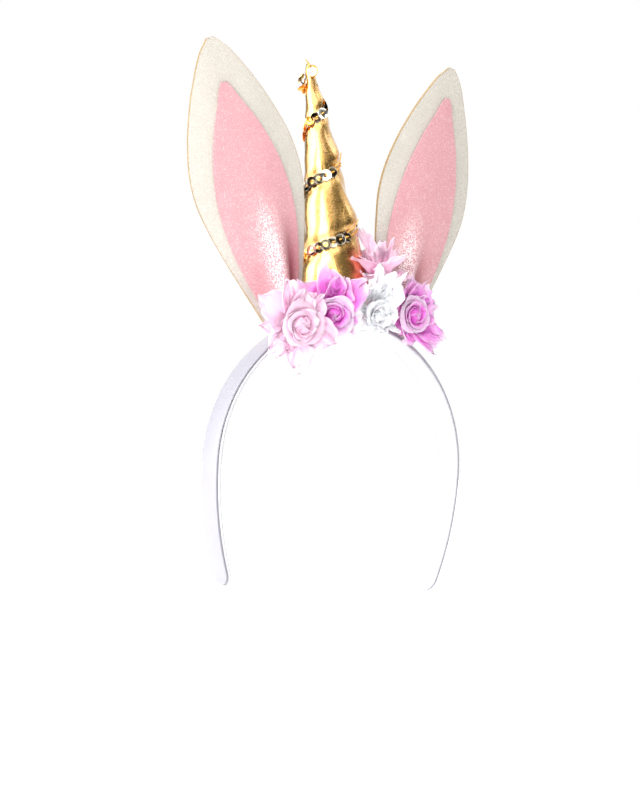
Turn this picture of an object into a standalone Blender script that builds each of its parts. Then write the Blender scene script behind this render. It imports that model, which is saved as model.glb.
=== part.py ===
"""Unicorn horn headband: a ribbon-faced plastic band that carries a stuffed gold horn wound with a
string of sequins, two glitter-felt ears with pink inners, and five cloth roses.

Metres, +Z up. The origin is the underside of the band at its crown, where it sits on the head.
The wearer faces -Y, and the wearer's right is -X. The band lies in the plane Y = 0.
"""

import math

import bmesh
import bpy
from mathutils import Matrix, Vector

# Clearances
SEAT_GAP = 0.0003
LAYER_GAP = 0.0004

# Band
BAND_INNER_RADIUS = 0.072
BAND_WIDTH = 0.0145
BAND_THICKNESS = 0.0013
ARM_RADIUS = 0.157
ARM_LENGTH = 0.062
RIBBON_THICKNESS = 0.001
RIBBON_INSET = 0.0009

# Horn
HORN_HEIGHT = 0.1265
HORN_BASE_RADIUS = 0.0182
HORN_TIP_RADIUS = 0.0014
HORN_TAPER_POWER = 0.74
HORN_BASE_X = -0.0052
HORN_BASE_Y = 0.002
HORN_LEAN_RIGHT = 0.0130
HORN_LEAN_BACK = 0.0185
HORN_LEAN_START_SHARE = 0.6
WINDING_PITCH = 0.0340
WINDING_PHASE_HEIGHT = 0.0357
WINDING_PHASE_DEG = -125.5
GROOVE_DEPTH = 0.001
GROOVE_DEPTH_MAX_SHARE = 0.25
GROOVE_FLAT_WIDTH = 0.0088
GROOVE_SHOULDER_WIDTH = 0.0170

HORN_SIDES = 18
HORN_ROWS = 31

# Sequin string
SEQUIN_DIAMETER = 0.0056
SEQUIN_THICKNESS = 0.0005
SEQUIN_SPACING_SHARE = 0.73
SEQUIN_TILT_DEG = 3.0
SEQUIN_SIDES = 10
STRING_START_HEIGHT = 0.012
STRING_SEAT_GAP = 0.0006
STRING_END_DROP = 0.0035
STRING_STEPS_A_TURN = 2000

# Ears
EAR_LENGTH = 0.149
EAR_WIDTH = 0.0598
EAR_THICKNESS = 0.002
EAR_INNER_THICKNESS = 0.001
EAR_PLEAT_DEPTH = 0.0045
EAR_BOW = 0.0035
EAR_TIP_CURL = 0.003

# Roses
PETAL_THICKNESS = 0.001
HEAD_DEPTH_RADIUS = 0.098
STEM_RADIUS = 0.0025
STEM_SEAT_Y = -0.0046
STEM_SIDES = 8
BUD_SIDES = 10
PETAL_CURVE_STEPS = 12
ROSE_MIDDLE_SHARE = 0.4

BAND_OUTER_RADIUS = BAND_INNER_RADIUS + BAND_THICKNESS + LAYER_GAP + RIBBON_THICKNESS
BAND_CENTRE_Z = -BAND_INNER_RADIUS
CROWN_Z = BAND_OUTER_RADIUS - BAND_INNER_RADIUS
SEAT_RADIUS = BAND_OUTER_RADIUS + SEAT_GAP
SEAT_SIDES = 96
HEAD_SIDES = 48

# A row for each section of the ear, from root to tip: shares of EAR_LENGTH, of half EAR_WIDTH for the
# felt and for the pink inner, of EAR_PLEAT_DEPTH and of EAR_BOW.
EAR_SECTIONS = [
    {"along": 0.00, "felt": 0.26, "inner": 0.17, "pleat": 1.00, "bow": 0.0},
    {"along": 0.05, "felt": 0.34, "inner": 0.23, "pleat": 1.00, "bow": 0.0},
    {"along": 0.12, "felt": 0.46, "inner": 0.35, "pleat": 0.95, "bow": 0.2},
    {"along": 0.20, "felt": 0.60, "inner": 0.48, "pleat": 0.75, "bow": 0.5},
    {"along": 0.30, "felt": 0.765, "inner": 0.60, "pleat": 0.40, "bow": 0.9},
    {"along": 0.40, "felt": 0.905, "inner": 0.665, "pleat": 0.12, "bow": 1.0},
    {"along": 0.50, "felt": 0.99, "inner": 0.655, "pleat": 0.0, "bow": 1.0},
    {"along": 0.60, "felt": 0.97, "inner": 0.57, "pleat": 0.0, "bow": 0.9},
    {"along": 0.70, "felt": 0.85, "inner": 0.41, "pleat": 0.0, "bow": 0.7},
    {"along": 0.79, "felt": 0.685, "inner": 0.19, "pleat": 0.0, "bow": 0.45},
    {"along": 0.85, "felt": 0.555, "inner": 0.0, "pleat": 0.0, "bow": 0.3},
    {"along": 0.95, "felt": 0.28, "inner": 0.0, "pleat": 0.0, "bow": 0.05},
    {"along": 1.00, "felt": 0.06, "inner": 0.0, "pleat": 0.0, "bow": 0.0},
]
EAR_INNER_SECTIONS = 10

# Columns across an ear, as shares of its half-width, and how far the pleat stands forward in each.
EAR_COLUMNS = [
    {"across": -1.00, "pleat": 0.0},
    {"across": -0.62, "pleat": 0.40},
    {"across": -0.24, "pleat": 0.85},
    {"across": 0.06, "pleat": 1.0},
    {"across": 0.26, "pleat": 0.62},
    {"across": 0.44, "pleat": 0.05},
    {"across": 0.72, "pleat": 0.0},
    {"across": 1.00, "pleat": 0.0},
]

# Where each ear stands: its side, the space between its root and the horn's foot, how deep its root is
# let in, and its angles as worn.
EARS = [
    {"name": "right", "side": -1, "beside_horn": 0.0033, "y": 0.0015, "sink": 0.0018,
     "splay_deg": -22.5, "back_deg": -1.5, "turn_deg": -10.0},
    {"name": "left", "side": 1, "beside_horn": 0.0092, "y": 0.0015, "sink": 0.0070,
     "splay_deg": 11.3, "back_deg": -2.0, "turn_deg": 5.5},
]

# Petal outlines: shares of the petal's length, and of its half-width there.
POINTED_PETAL = [
    {"along": 0.0, "width": 0.30},
    {"along": 0.38, "width": 0.92},
    {"along": 0.72, "width": 0.88},
    {"along": 1.0, "width": 0.05},
]
ROUND_PETAL = [
    {"along": 0.0, "width": 0.35},
    {"along": 0.40, "width": 0.95},
    {"along": 0.78, "width": 0.95},
    {"along": 1.0, "width": 0.42},
]

# Rings of petals, as shares of the rose's radius, with the petal's slope from the rose's axis.
PETAL_RINGS = [
    {"petals": 5, "outline": POINTED_PETAL, "length": 1.12, "half_width": 0.56, "base": 0.10,
     "slope_deg": (52, 112), "cup": 0.10, "turn_deg": 0.0, "rise": 0.0},
    {"petals": 3, "outline": ROUND_PETAL, "length": 0.92, "half_width": 0.72, "base": 0.10,
     "slope_deg": (32, 72), "cup": 0.14, "turn_deg": 36.0, "rise": 0.10},
]
BUD_RADIUS_SHARE = 0.40
BUD_HEIGHT_SHARE = 0.74

# The bud's outer side, from top to bottom, as shares of its radius and height.
BUD_PROFILE = [
    {"out": 0.0, "up": 1.0},
    {"out": 0.55, "up": 0.97},
    {"out": 0.92, "up": 0.72},
    {"out": 1.0, "up": 0.40},
    {"out": 0.78, "up": 0.05},
    {"out": 0.5, "up": -0.12},
    {"out": 0.0, "up": -0.14},
]

# Each rose: the middle of its back as its X, how far ahead of the band's front edge and how far over the
# band's face, its radius, the way it faces, its turn on that axis, how far its petals have opened, and
# where its stub seats: at an X on the band, or at a height on the horn.
ROSES = [
    {"name": "rose_pink_right", "colour": "rose_pink", "x": -0.0386, "ahead": 0.0137, "over": -0.0007,
     "radius": 0.0225, "faces": (-0.55, -0.75, 0.36), "turn_deg": 12, "open": 1.0,
     "band_x": -0.0440},
    {"name": "rose_lilac_right", "colour": "rose_lilac", "x": -0.0219, "ahead": 0.0117, "over": 0.0031,
     "radius": 0.0190, "faces": (-0.40, -0.85, 0.33), "turn_deg": 0, "open": 1.0,
     "band_x": -0.0252},
    {"name": "rose_pink_top", "colour": "rose_pink", "x": 0.0118, "ahead": -0.0004, "over": 0.0247,
     "radius": 0.0185, "faces": (0.15, -0.30, 0.94), "turn_deg": 20, "open": 0.6,
     "horn_height": 0.0215},
    {"name": "rose_white", "colour": "rose_white", "x": 0.0034, "ahead": 0.0109, "over": 0.0027,
     "radius": 0.0165, "faces": (-0.10, -0.90, 0.42), "turn_deg": 0, "open": 1.0,
     "horn_height": 0.0035},
    {"name": "rose_lilac_left", "colour": "rose_lilac", "x": 0.0292, "ahead": 0.0043, "over": 0.0077,
     "radius": 0.0205, "faces": (0.36, -0.90, 0.22), "turn_deg": 26, "open": 1.0,
     "band_x": 0.0225},
]

COLOURS = {
    "band_plastic": ((0.86, 0.86, 0.87), 0.35, 0.0),
    "ribbon_satin": ((0.70, 0.70, 0.78), 0.32, 0.0),
    "horn_lame": ((0.80, 0.56, 0.22), 0.28, 1.0),
    "sequins": ((0.16, 0.13, 0.07), 0.18, 1.0),
    "ear_felt": ((0.84, 0.81, 0.74), 0.75, 0.0),
    "ear_pink": ((0.88, 0.42, 0.48), 0.70, 0.0),
    "rose_pink": ((0.92, 0.68, 0.78), 0.65, 0.0),
    "rose_lilac": ((0.72, 0.42, 0.80), 0.65, 0.0),
    "rose_white": ((0.88, 0.87, 0.90), 0.65, 0.0),
}


def clear_scene():
    for obj in list(bpy.data.objects):
        bpy.data.objects.remove(obj)


def new_collection(name, hidden=False):
    made = bpy.data.collections.new(name)
    bpy.context.scene.collection.children.link(made)
    made.hide_render = hidden
    return made


def material(name):
    """The material of that name, made at its first use."""
    made = bpy.data.materials.get(name)
    if made is not None:
        return made
    colour, roughness, metallic = COLOURS[name]
    made = bpy.data.materials.new(name)
    made.use_nodes = True
    shader = made.node_tree.nodes["Principled BSDF"]
    shader.inputs["Base Color"].default_value = (*colour, 1.0)
    shader.inputs["Roughness"].default_value = roughness
    shader.inputs["Metallic"].default_value = metallic
    return made


def new_object(name, mesh, collection):
    made = bpy.data.objects.new(name, mesh)
    collection.objects.link(made)
    return made


def finish_mesh(bm, name):
    mesh = bpy.data.meshes.new(name)
    bmesh.ops.recalc_face_normals(bm, faces=bm.faces)
    bm.to_mesh(mesh)
    bm.free()
    return mesh


def sheet_mesh(name, columns, rows, place):
    """A grid of columns by rows cells, its corner (i, j) moved to place(i, j)."""
    bm = bmesh.new()
    bmesh.ops.create_grid(bm, x_segments=columns, y_segments=rows, size=1.0)
    for vertex in bm.verts:
        i = round((vertex.co.x + 1) / 2 * columns)
        j = round((vertex.co.y + 1) / 2 * rows)
        vertex.co = place(i, j)
    bmesh.ops.remove_doubles(bm, verts=bm.verts, dist=1e-6)
    mesh = bpy.data.meshes.new(name)
    bm.to_mesh(mesh)
    bm.free()
    return mesh


def block_mesh(name, columns, rows, low, high):
    """A closed block between two sheets, whose corners are low(i, j) and high(i, j)."""
    bm = bmesh.new()
    bmesh.ops.create_grid(bm, x_segments=columns, y_segments=rows, size=1.0)
    for vertex in bm.verts:
        i = round((vertex.co.x + 1) / 2 * columns)
        j = round((vertex.co.y + 1) / 2 * rows)
        vertex.co.z = 0.0
        vertex.co.x, vertex.co.y = i, j
    upper = bmesh.ops.extrude_face_region(bm, geom=list(bm.faces))["geom"]
    lifted = {v for v in upper if isinstance(v, bmesh.types.BMVert)}
    for vertex in bm.verts:
        i = round(vertex.co.x)
        j = round(vertex.co.y)
        vertex.co = high(i, j) if vertex in lifted else low(i, j)
    bmesh.ops.remove_doubles(bm, verts=bm.verts, dist=1e-6)
    return finish_mesh(bm, name)


def evaluated_mesh(obj):
    bpy.context.view_layer.update()
    graph = bpy.context.evaluated_depsgraph_get()
    return bpy.data.meshes.new_from_object(obj.evaluated_get(graph))


def bake_modifiers(obj):
    """Replaces the object's mesh by what its modifiers make of it."""
    obj.data = evaluated_mesh(obj)
    obj.modifiers.clear()


def add_boolean(obj, other, operation, solver="EXACT"):
    modifier = obj.modifiers.new(operation.lower(), "BOOLEAN")
    modifier.operation = operation
    modifier.solver = solver
    modifier.object = other


def keep_largest_body(obj):
    """Drops the offcuts that a cut has parted from the main body."""
    bm = bmesh.new()
    bm.from_mesh(obj.data)
    left = set(bm.verts)
    bodies = []
    while left:
        front = [left.pop()]
        body = list(front)
        while front:
            near = {e.other_vert(v) for v in front for e in v.link_edges} & left
            left -= near
            front = list(near)
            body += front
        bodies.append(body)
    bodies.sort(key=len)
    for body in bodies[:-1]:
        bmesh.ops.delete(bm, geom=body, context="VERTS")
    bm.to_mesh(obj.data)
    bm.free()


def smooth(obj, angle_deg=40.0):
    obj.data.shade_smooth()
    obj.data.set_sharp_from_angle(angle=math.radians(angle_deg))


def smoothstep(low, high, value):
    share = min(max((value - low) / (high - low), 0.0), 1.0)
    return share * share * (3 - 2 * share)


def band_length():
    """From the crown to the end of one arm, along the band's underside."""
    return BAND_INNER_RADIUS * math.pi / 2 + ARM_LENGTH


def band_point(along, y, outward=0.0):
    """A point at a distance along the underside from the crown, negative to the wearer's right."""
    side = -1.0 if along < 0 else 1.0
    quarter = BAND_INNER_RADIUS * math.pi / 2
    if abs(along) <= quarter:
        angle = abs(along) / BAND_INNER_RADIUS
        reach = BAND_INNER_RADIUS + outward
        return Vector((side * reach * math.sin(angle), y, BAND_CENTRE_Z + reach * math.cos(angle)))
    angle = (abs(along) - quarter) / ARM_RADIUS
    reach = ARM_RADIUS + outward
    x = BAND_INNER_RADIUS - ARM_RADIUS + reach * math.cos(angle)
    return Vector((side * x, y, BAND_CENTRE_Z - reach * math.sin(angle)))


def band_stations(half_length, half_width, straight_cells=40, end_cells=4):
    """Rows of (distance along, half-width) from end to end, with half-round ends."""
    flat = half_length - half_width
    ends = []
    for k in range(end_cells):
        angle = math.pi / 2 * k / end_cells
        ends.append((flat + half_width * math.cos(angle), half_width * math.sin(angle)))
    middle = [(-flat + 2 * flat * k / straight_cells, half_width) for k in range(straight_cells + 1)]
    return [(-a, w) for a, w in ends] + middle + ends[::-1]


def build_strip(name, collection, half_length, width, base, thickness):
    """A strip of the band between two heights over its underside, with half-round ends."""
    stations = band_stations(half_length, width / 2)

    def place(i, j):
        along, half_width = stations[j]
        return band_point(along, (2 * i - 1) * half_width, base)

    strip = new_object(name, sheet_mesh(name, 1, len(stations) - 1, place), collection)
    wall = strip.modifiers.new("thickness", "SOLIDIFY")
    wall.thickness = thickness
    wall.offset = -1.0
    wall.use_even_offset = True
    return strip


def build_band(collection):
    """The plastic band, and the satin ribbon that faces it a little short of its edges."""
    band = build_strip("band", collection, band_length(), BAND_WIDTH, 0.0, BAND_THICKNESS)
    band.data.materials.append(material("band_plastic"))
    smooth(band)
    ribbon = build_strip(
        "ribbon",
        collection,
        band_length() - RIBBON_INSET,
        BAND_WIDTH - 2 * RIBBON_INSET,
        BAND_THICKNESS + LAYER_GAP,
        RIBBON_THICKNESS,
    )
    ribbon.data.materials.append(material("ribbon_satin"))
    smooth(ribbon)


def horn_radius(height):
    """The stuffed cone's radius at a height over the crown, before its winding draws it in."""
    share = max(1 - height / HORN_HEIGHT, 0.0)
    return HORN_TIP_RADIUS + (HORN_BASE_RADIUS - HORN_TIP_RADIUS) * share**HORN_TAPER_POWER


def horn_centre(height):
    """The middle of the horn at a height over the crown. It leans more towards its tip."""
    share = height / HORN_HEIGHT
    lean = HORN_LEAN_START_SHARE * share + (1 - HORN_LEAN_START_SHARE) * share * abs(share)
    return Vector(
        (
            HORN_BASE_X - HORN_LEAN_RIGHT * lean,
            HORN_BASE_Y + HORN_LEAN_BACK * lean,
            CROWN_Z + height,
        )
    )


def groove_depth(height):
    return min(GROOVE_DEPTH, GROOVE_DEPTH_MAX_SHARE * horn_radius(height))


def winding_angle(height):
    """The angle round the horn at which the string of sequins passes this height."""
    turns = (height - WINDING_PHASE_HEIGHT) / WINDING_PITCH
    return math.radians(WINDING_PHASE_DEG) + 2 * math.pi * turns


def wound_radius(height, angle):
    """The horn's radius there, drawn in along the winding."""
    turns = (winding_angle(height) - angle) / (2 * math.pi)
    away = abs(turns - round(turns)) * WINDING_PITCH
    drawn = 1 - smoothstep(GROOVE_FLAT_WIDTH / 2, GROOVE_SHOULDER_WIDTH / 2, away)
    return horn_radius(height) - groove_depth(height) * drawn


def seat_cutter(collection):
    """A roller of the band's outer size, which cuts the seats of what stands on the band."""
    radius = SEAT_RADIUS / math.cos(math.pi / SEAT_SIDES)
    bm = bmesh.new()
    bmesh.ops.create_cone(
        bm,
        cap_ends=True,
        segments=SEAT_SIDES,
        radius1=radius,
        radius2=radius,
        depth=6 * HORN_BASE_RADIUS,
        matrix=Matrix.Translation((0, 0, BAND_CENTRE_Z)) @ Matrix.Rotation(math.pi / 2, 4, "X"),
    )
    return new_object("seat_cutter", finish_mesh(bm, "seat_cutter"), collection)


def turned_object(name, profile, steps, collection):
    """A profile of (radius, height) rows, from top to bottom, turned about the Z axis."""
    mesh = bpy.data.meshes.new(name)
    points = [(radius, 0.0, height) for radius, height in profile]
    mesh.from_pydata(points, [(k, k + 1) for k in range(len(points) - 1)], [])
    turned = new_object(name, mesh, collection)
    screw = turned.modifiers.new("turn", "SCREW")
    screw.axis = "Z"
    screw.steps = steps
    screw.render_steps = steps
    screw.use_merge_vertices = True
    screw.merge_threshold = 1e-5
    return turned


def horn_profile(growth, rows):
    """The horn's outer side, grown by a gap, from its tip to well under the crown."""
    reach = HORN_HEIGHT + HORN_BASE_RADIUS
    heights = [HORN_HEIGHT - reach * k / rows for k in range(rows + 1)]
    profile = [(0.0, HORN_HEIGHT + HORN_TIP_RADIUS + growth)]
    profile += [(min(horn_radius(h), HORN_BASE_RADIUS) + growth, h) for h in heights]
    return profile + [(0.0, heights[-1])]


def build_horn(collection, seat):
    """The stuffed horn: a turned cone, leaned over and drawn in where the string winds round it."""
    horn = turned_object("horn", horn_profile(0.0, HORN_ROWS), HORN_SIDES, collection)
    bake_modifiers(horn)
    bm = bmesh.new()
    bm.from_mesh(horn.data)
    for vertex in bm.verts:
        height = vertex.co.z
        radius = math.hypot(vertex.co.x, vertex.co.y)
        angle = math.atan2(vertex.co.y, vertex.co.x)
        if radius > 1e-6:
            wound = min(radius, wound_radius(height, angle))
            vertex.co.x = wound * math.cos(angle)
            vertex.co.y = wound * math.sin(angle)
        centre = horn_centre(height)
        vertex.co.x += centre.x
        vertex.co.y += centre.y
        vertex.co.z = centre.z
    horn.data = finish_mesh(bm, "horn")
    horn.data.materials.append(material("horn_lame"))
    add_boolean(horn, seat, "DIFFERENCE")
    bake_modifiers(horn)
    smooth(horn)
    return horn


def string_frames():
    """(place, along, outward) of each sequin, evenly spaced along the winding."""
    spacing = SEQUIN_DIAMETER * SEQUIN_SPACING_SHARE
    tilt_drop = SEQUIN_DIAMETER / 2 * math.sin(math.radians(SEQUIN_TILT_DEG))
    lift = STRING_SEAT_GAP + tilt_drop + SEQUIN_THICKNESS / 2
    step = WINDING_PITCH / STRING_STEPS_A_TURN

    def place(height):
        angle = winding_angle(height)
        reach = horn_radius(height) - groove_depth(height) + lift
        out = Vector((math.cos(angle), math.sin(angle), 0.0))
        return horn_centre(height) + out * reach

    frames = []
    height = STRING_START_HEIGHT
    gone = spacing
    last = place(height)
    while height < HORN_HEIGHT - STRING_END_DROP:
        here = place(height)
        gone += (here - last).length
        if gone >= spacing:
            gone -= spacing
            angle = winding_angle(height)
            slope = (horn_radius(height) - horn_radius(height + step)) / step
            outward = Vector((math.cos(angle), math.sin(angle), slope)).normalized()
            along = place(height + step) - here
            frames.append((here, along.normalized(), outward))
        last = here
        height += step
    return frames


def fused_discs(name, frames, growth, collection):
    """A disc at each frame of the winding, lapped over the next, fused into one body."""
    string = None
    for centre, along, outward in frames:
        side = outward.cross(along).normalized()
        facing = (Matrix.Rotation(math.radians(SEQUIN_TILT_DEG), 3, side) @ outward).normalized()
        turn = Matrix((side.cross(facing), side, facing)).transposed().to_4x4()
        bm = bmesh.new()
        bmesh.ops.create_cone(
            bm,
            cap_ends=True,
            segments=SEQUIN_SIDES,
            radius1=SEQUIN_DIAMETER / 2 + growth,
            radius2=SEQUIN_DIAMETER / 2 + growth,
            depth=SEQUIN_THICKNESS + growth,
            matrix=Matrix.Translation(centre) @ turn,
        )
        disc = new_object(name, finish_mesh(bm, name), collection)
        if string is None:
            string = disc
            continue
        add_boolean(string, disc, "UNION")
        bake_modifiers(string)
        bpy.data.objects.remove(disc)
    return string


def build_sequin_string(collection):
    string = fused_discs("sequin_string", string_frames(), 0.0, collection)
    string.data.materials.append(material("sequins"))


def face_height(x):
    """The height of the band's outer face at an X near the crown."""
    return BAND_CENTRE_Z + math.sqrt(BAND_OUTER_RADIUS**2 - x**2)


def ear_frame(ear):
    """(root, up, across, forward) of an ear that stands on the band."""
    splay = math.radians(ear["splay_deg"])
    turn = math.radians(ear["turn_deg"])
    up = Vector((math.sin(splay), math.tan(math.radians(ear["back_deg"])), math.cos(splay)))
    up.normalize()
    forward = Vector((math.sin(turn), -math.cos(turn), 0.0))
    forward -= up * forward.dot(up)
    forward.normalize()
    across = forward.cross(up)
    beside = HORN_BASE_RADIUS + ear["beside_horn"] + EAR_WIDTH / 2 * EAR_SECTIONS[0]["felt"]
    x = HORN_BASE_X + ear["side"] * beside
    root = Vector((x, ear["y"], face_height(x))) - up * ear["sink"]
    return root, up, across * (-1 if across.x < 0 else 1), forward


def pleat_share(across_share):
    """How far the pleat stands forward at a share of the felt's half-width."""
    for near, far in zip(EAR_COLUMNS, EAR_COLUMNS[1:]):
        if across_share <= far["across"]:
            share = (across_share - near["across"]) / (far["across"] - near["across"])
            return near["pleat"] + (far["pleat"] - near["pleat"]) * share
    return EAR_COLUMNS[-1]["pleat"]


def ear_point(ear, section, column, layer, offset):
    """A point of the ear: the felt's column, held within the layer's edges, ahead of its front face."""
    root, up, across, forward = ear_frame(ear)
    felt_width = EAR_WIDTH / 2 * section["felt"]
    reach = EAR_WIDTH / 2 * section[layer]
    aside = min(max(felt_width * column["across"], -reach), reach)
    share = aside / felt_width
    stand = offset - EAR_TIP_CURL * section["along"] ** 2
    stand += EAR_PLEAT_DEPTH * section["pleat"] * pleat_share(share)
    stand += EAR_BOW * section["bow"] * (1 - abs(share))
    return root + up * (EAR_LENGTH * section["along"]) + across * aside + forward * stand


def ear_layer(name, ear, collection, layer, rows, back, front, margin=0.0):
    """A layer of the ear between two distances ahead of the felt's front face."""
    across = ear_frame(ear)[2]

    def place(i, j, offset):
        column = EAR_COLUMNS[i]
        point = ear_point(ear, EAR_SECTIONS[j], column, layer, offset)
        return point + across * (column["across"] * margin)

    mesh = block_mesh(
        name,
        len(EAR_COLUMNS) - 1,
        rows,
        lambda i, j: place(i, j, back),
        lambda i, j: place(i, j, front),
    )
    return new_object(name, mesh, collection)


def build_ear(ear, collection, seat):
    """The felt ear and its pink inner, both seated on the band."""
    felt = ear_layer(
        f"ear_{ear['name']}", ear, collection, "felt", len(EAR_SECTIONS) - 1, -EAR_THICKNESS, 0.0
    )
    felt.data.materials.append(material("ear_felt"))
    inner = ear_layer(
        f"ear_{ear['name']}_inner",
        ear,
        collection,
        "inner",
        EAR_INNER_SECTIONS,
        LAYER_GAP,
        LAYER_GAP + EAR_INNER_THICKNESS,
    )
    inner.data.materials.append(material("ear_pink"))
    for layer in (felt, inner):
        add_boolean(layer, seat, "DIFFERENCE")
        bake_modifiers(layer)
        smooth(layer)


def ear_clearance(ear, collection):
    """The space that an ear takes, with a seat gap all round, to cut from the roses."""
    front = LAYER_GAP + EAR_INNER_THICKNESS + SEAT_GAP
    return ear_layer(
        f"clearance_{ear['name']}",
        ear,
        collection,
        "felt",
        len(EAR_SECTIONS) - 1,
        -EAR_THICKNESS - SEAT_GAP,
        front,
        margin=SEAT_GAP,
    )


def horn_clearance(collection):
    """The space that the horn takes, with a seat gap, to cut from the roses."""
    profile = horn_profile(SEAT_GAP, HORN_ROWS)
    space = turned_object("horn_clearance", profile, 2 * HORN_SIDES, collection)
    bake_modifiers(space)
    for vertex in space.data.vertices:
        centre = horn_centre(vertex.co.z)
        vertex.co.x += centre.x
        vertex.co.y += centre.y
        vertex.co.z = centre.z
    return space


def string_clearance(collection):
    """The space that the string takes near the roses, with a seat gap all round."""
    reach = max(rose_place(rose).z + 2 * rose["radius"] for rose in ROSES)
    near = [frame for frame in string_frames() if frame[0].z < reach]
    return fused_discs("string_clearance", near, 2 * SEAT_GAP, collection)


def head_clearance(collection):
    """The head that the band sits on, which the petals rest on and stay out of."""
    bm = bmesh.new()
    bmesh.ops.create_uvsphere(bm, u_segments=HEAD_SIDES, v_segments=HEAD_SIDES // 2, radius=1.0)
    grow = SEAT_RADIUS / math.cos(math.pi / HEAD_SIDES) ** 2
    scale = Matrix.Diagonal((grow, HEAD_DEPTH_RADIUS * grow / SEAT_RADIUS, grow, 1.0))
    bmesh.ops.transform(bm, matrix=Matrix.Translation((0, 0, BAND_CENTRE_Z)) @ scale, verts=bm.verts)
    return new_object("head_clearance", finish_mesh(bm, "head_clearance"), collection)


def rose_place(rose):
    """The middle of a rose's back."""
    x = rose["x"]
    return Vector((x, -BAND_WIDTH / 2 - rose["ahead"], face_height(x) + rose["over"]))


def rose_axes(rose):
    """(facing, first side, second side) of a rose."""
    facing = Vector(rose["faces"]).normalized()
    first = Vector((0.0, 0.0, 1.0)).cross(facing)
    if first.length < 0.3:
        first = Vector((1.0, 0.0, 0.0))
    first = (first - facing * first.dot(facing)).normalized()
    turn = Matrix.Rotation(math.radians(rose["turn_deg"]), 3, facing)
    first = turn @ first
    return facing, first, facing.cross(first)


def petal_line(ring, rose, along):
    """(distance from the axis, height) of a petal's middle line at a share of its length."""
    radius = rose["radius"]
    start, end = (slope * rose["open"] for slope in ring["slope_deg"])
    step = ring["length"] * radius * along / PETAL_CURVE_STEPS
    reach = ring["base"] * radius
    rise = ring["rise"] * radius
    for k in range(PETAL_CURVE_STEPS):
        slope = math.radians(start + (end - start) * along * (k + 0.5) / PETAL_CURVE_STEPS)
        reach += math.sin(slope) * step
        rise += math.cos(slope) * step
    return reach, rise


def build_petal(name, rose, ring, number, collection):
    """One petal: a curved sheet of cloth that starts near the rose's axis."""
    facing, first, second = rose_axes(rose)
    radius = rose["radius"]
    spin = math.radians(ring["turn_deg"] + 360 * number / ring["petals"])
    outline = ring["outline"]
    origin = rose_place(rose)

    def place(i, j):
        row = outline[j]
        reach, rise = petal_line(ring, rose, row["along"])
        aside = (i - 1) * row["width"] * ring["half_width"] * radius
        bend = aside / max(reach, 0.55 * radius)
        out = first * math.cos(spin + bend) + second * math.sin(spin + bend)
        lift = rise + ring["cup"] * radius * abs(i - 1) * row["width"]
        return origin + out * reach + facing * lift

    petal = new_object(name, sheet_mesh(name, 2, len(outline) - 1, place), collection)
    wall = petal.modifiers.new("thickness", "SOLIDIFY")
    wall.thickness = PETAL_THICKNESS
    wall.offset = 0.0
    return petal


def build_bud(rose, collection):
    """The rolled middle of a rose, and the cup under it that holds the petals."""
    facing, first, second = rose_axes(rose)
    radius = rose["radius"]
    wide = BUD_RADIUS_SHARE * radius
    tall = BUD_HEIGHT_SHARE * radius
    profile = [(row["out"] * wide, row["up"] * tall) for row in BUD_PROFILE]
    bud = turned_object(rose["name"], profile, BUD_SIDES, collection)
    bake_modifiers(bud)
    turn = Matrix((first, second, facing)).transposed().to_4x4()
    bud.data.transform(Matrix.Translation(rose_place(rose)) @ turn)
    return bud


def stem_end(rose):
    """A point just under the surface that the rose's stub seats on."""
    if "horn_height" in rose:
        return horn_centre(rose["horn_height"])
    x = rose["band_x"]
    return Vector((x, STEM_SEAT_Y, face_height(x) - STEM_RADIUS))


def build_stem(rose, collection):
    """The hidden stub from a rose's cup to its seat."""
    start = rose_place(rose) + Vector(rose["faces"]).normalized() * STEM_RADIUS
    end = stem_end(rose)
    way = end - start
    bm = bmesh.new()
    bmesh.ops.create_cone(
        bm,
        cap_ends=True,
        segments=STEM_SIDES,
        radius1=STEM_RADIUS,
        radius2=STEM_RADIUS,
        depth=way.length,
        matrix=Matrix.Translation((start + end) / 2) @ way.to_track_quat("Z", "Y").to_matrix().to_4x4(),
    )
    return new_object(f"{rose['name']}_stem", finish_mesh(bm, "stem"), collection)


def rose_middle(rose):
    return rose_place(rose) + Vector(rose["faces"]).normalized() * (ROSE_MIDDLE_SHARE * rose["radius"])


def half_space(point, normal, collection):
    """A block that fills one side of a plane, wide enough for any rose."""
    size = 6 * max(rose["radius"] for rose in ROSES)
    bm = bmesh.new()
    turn = normal.to_track_quat("Z", "Y").to_matrix().to_4x4()
    lift = Matrix.Translation((0, 0, size / 2))
    bmesh.ops.create_cube(bm, size=size, matrix=Matrix.Translation(point) @ turn @ lift)
    return new_object("half_space", finish_mesh(bm, "half_space"), collection)


def trim_to_own_side(obj, rose, other, collection):
    """Cuts the rose flat where it meets its neighbour, half a gap short of the plane between them."""
    here, there = rose_middle(rose), rose_middle(other)
    share = rose["radius"] / (rose["radius"] + other["radius"])
    normal = (there - here).normalized()
    point = here + (there - here) * share - normal * (SEAT_GAP / 2)
    block = half_space(point, normal, collection)
    add_boolean(obj, block, "DIFFERENCE", "MANIFOLD")
    bake_modifiers(obj)
    bpy.data.objects.remove(block)


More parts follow.
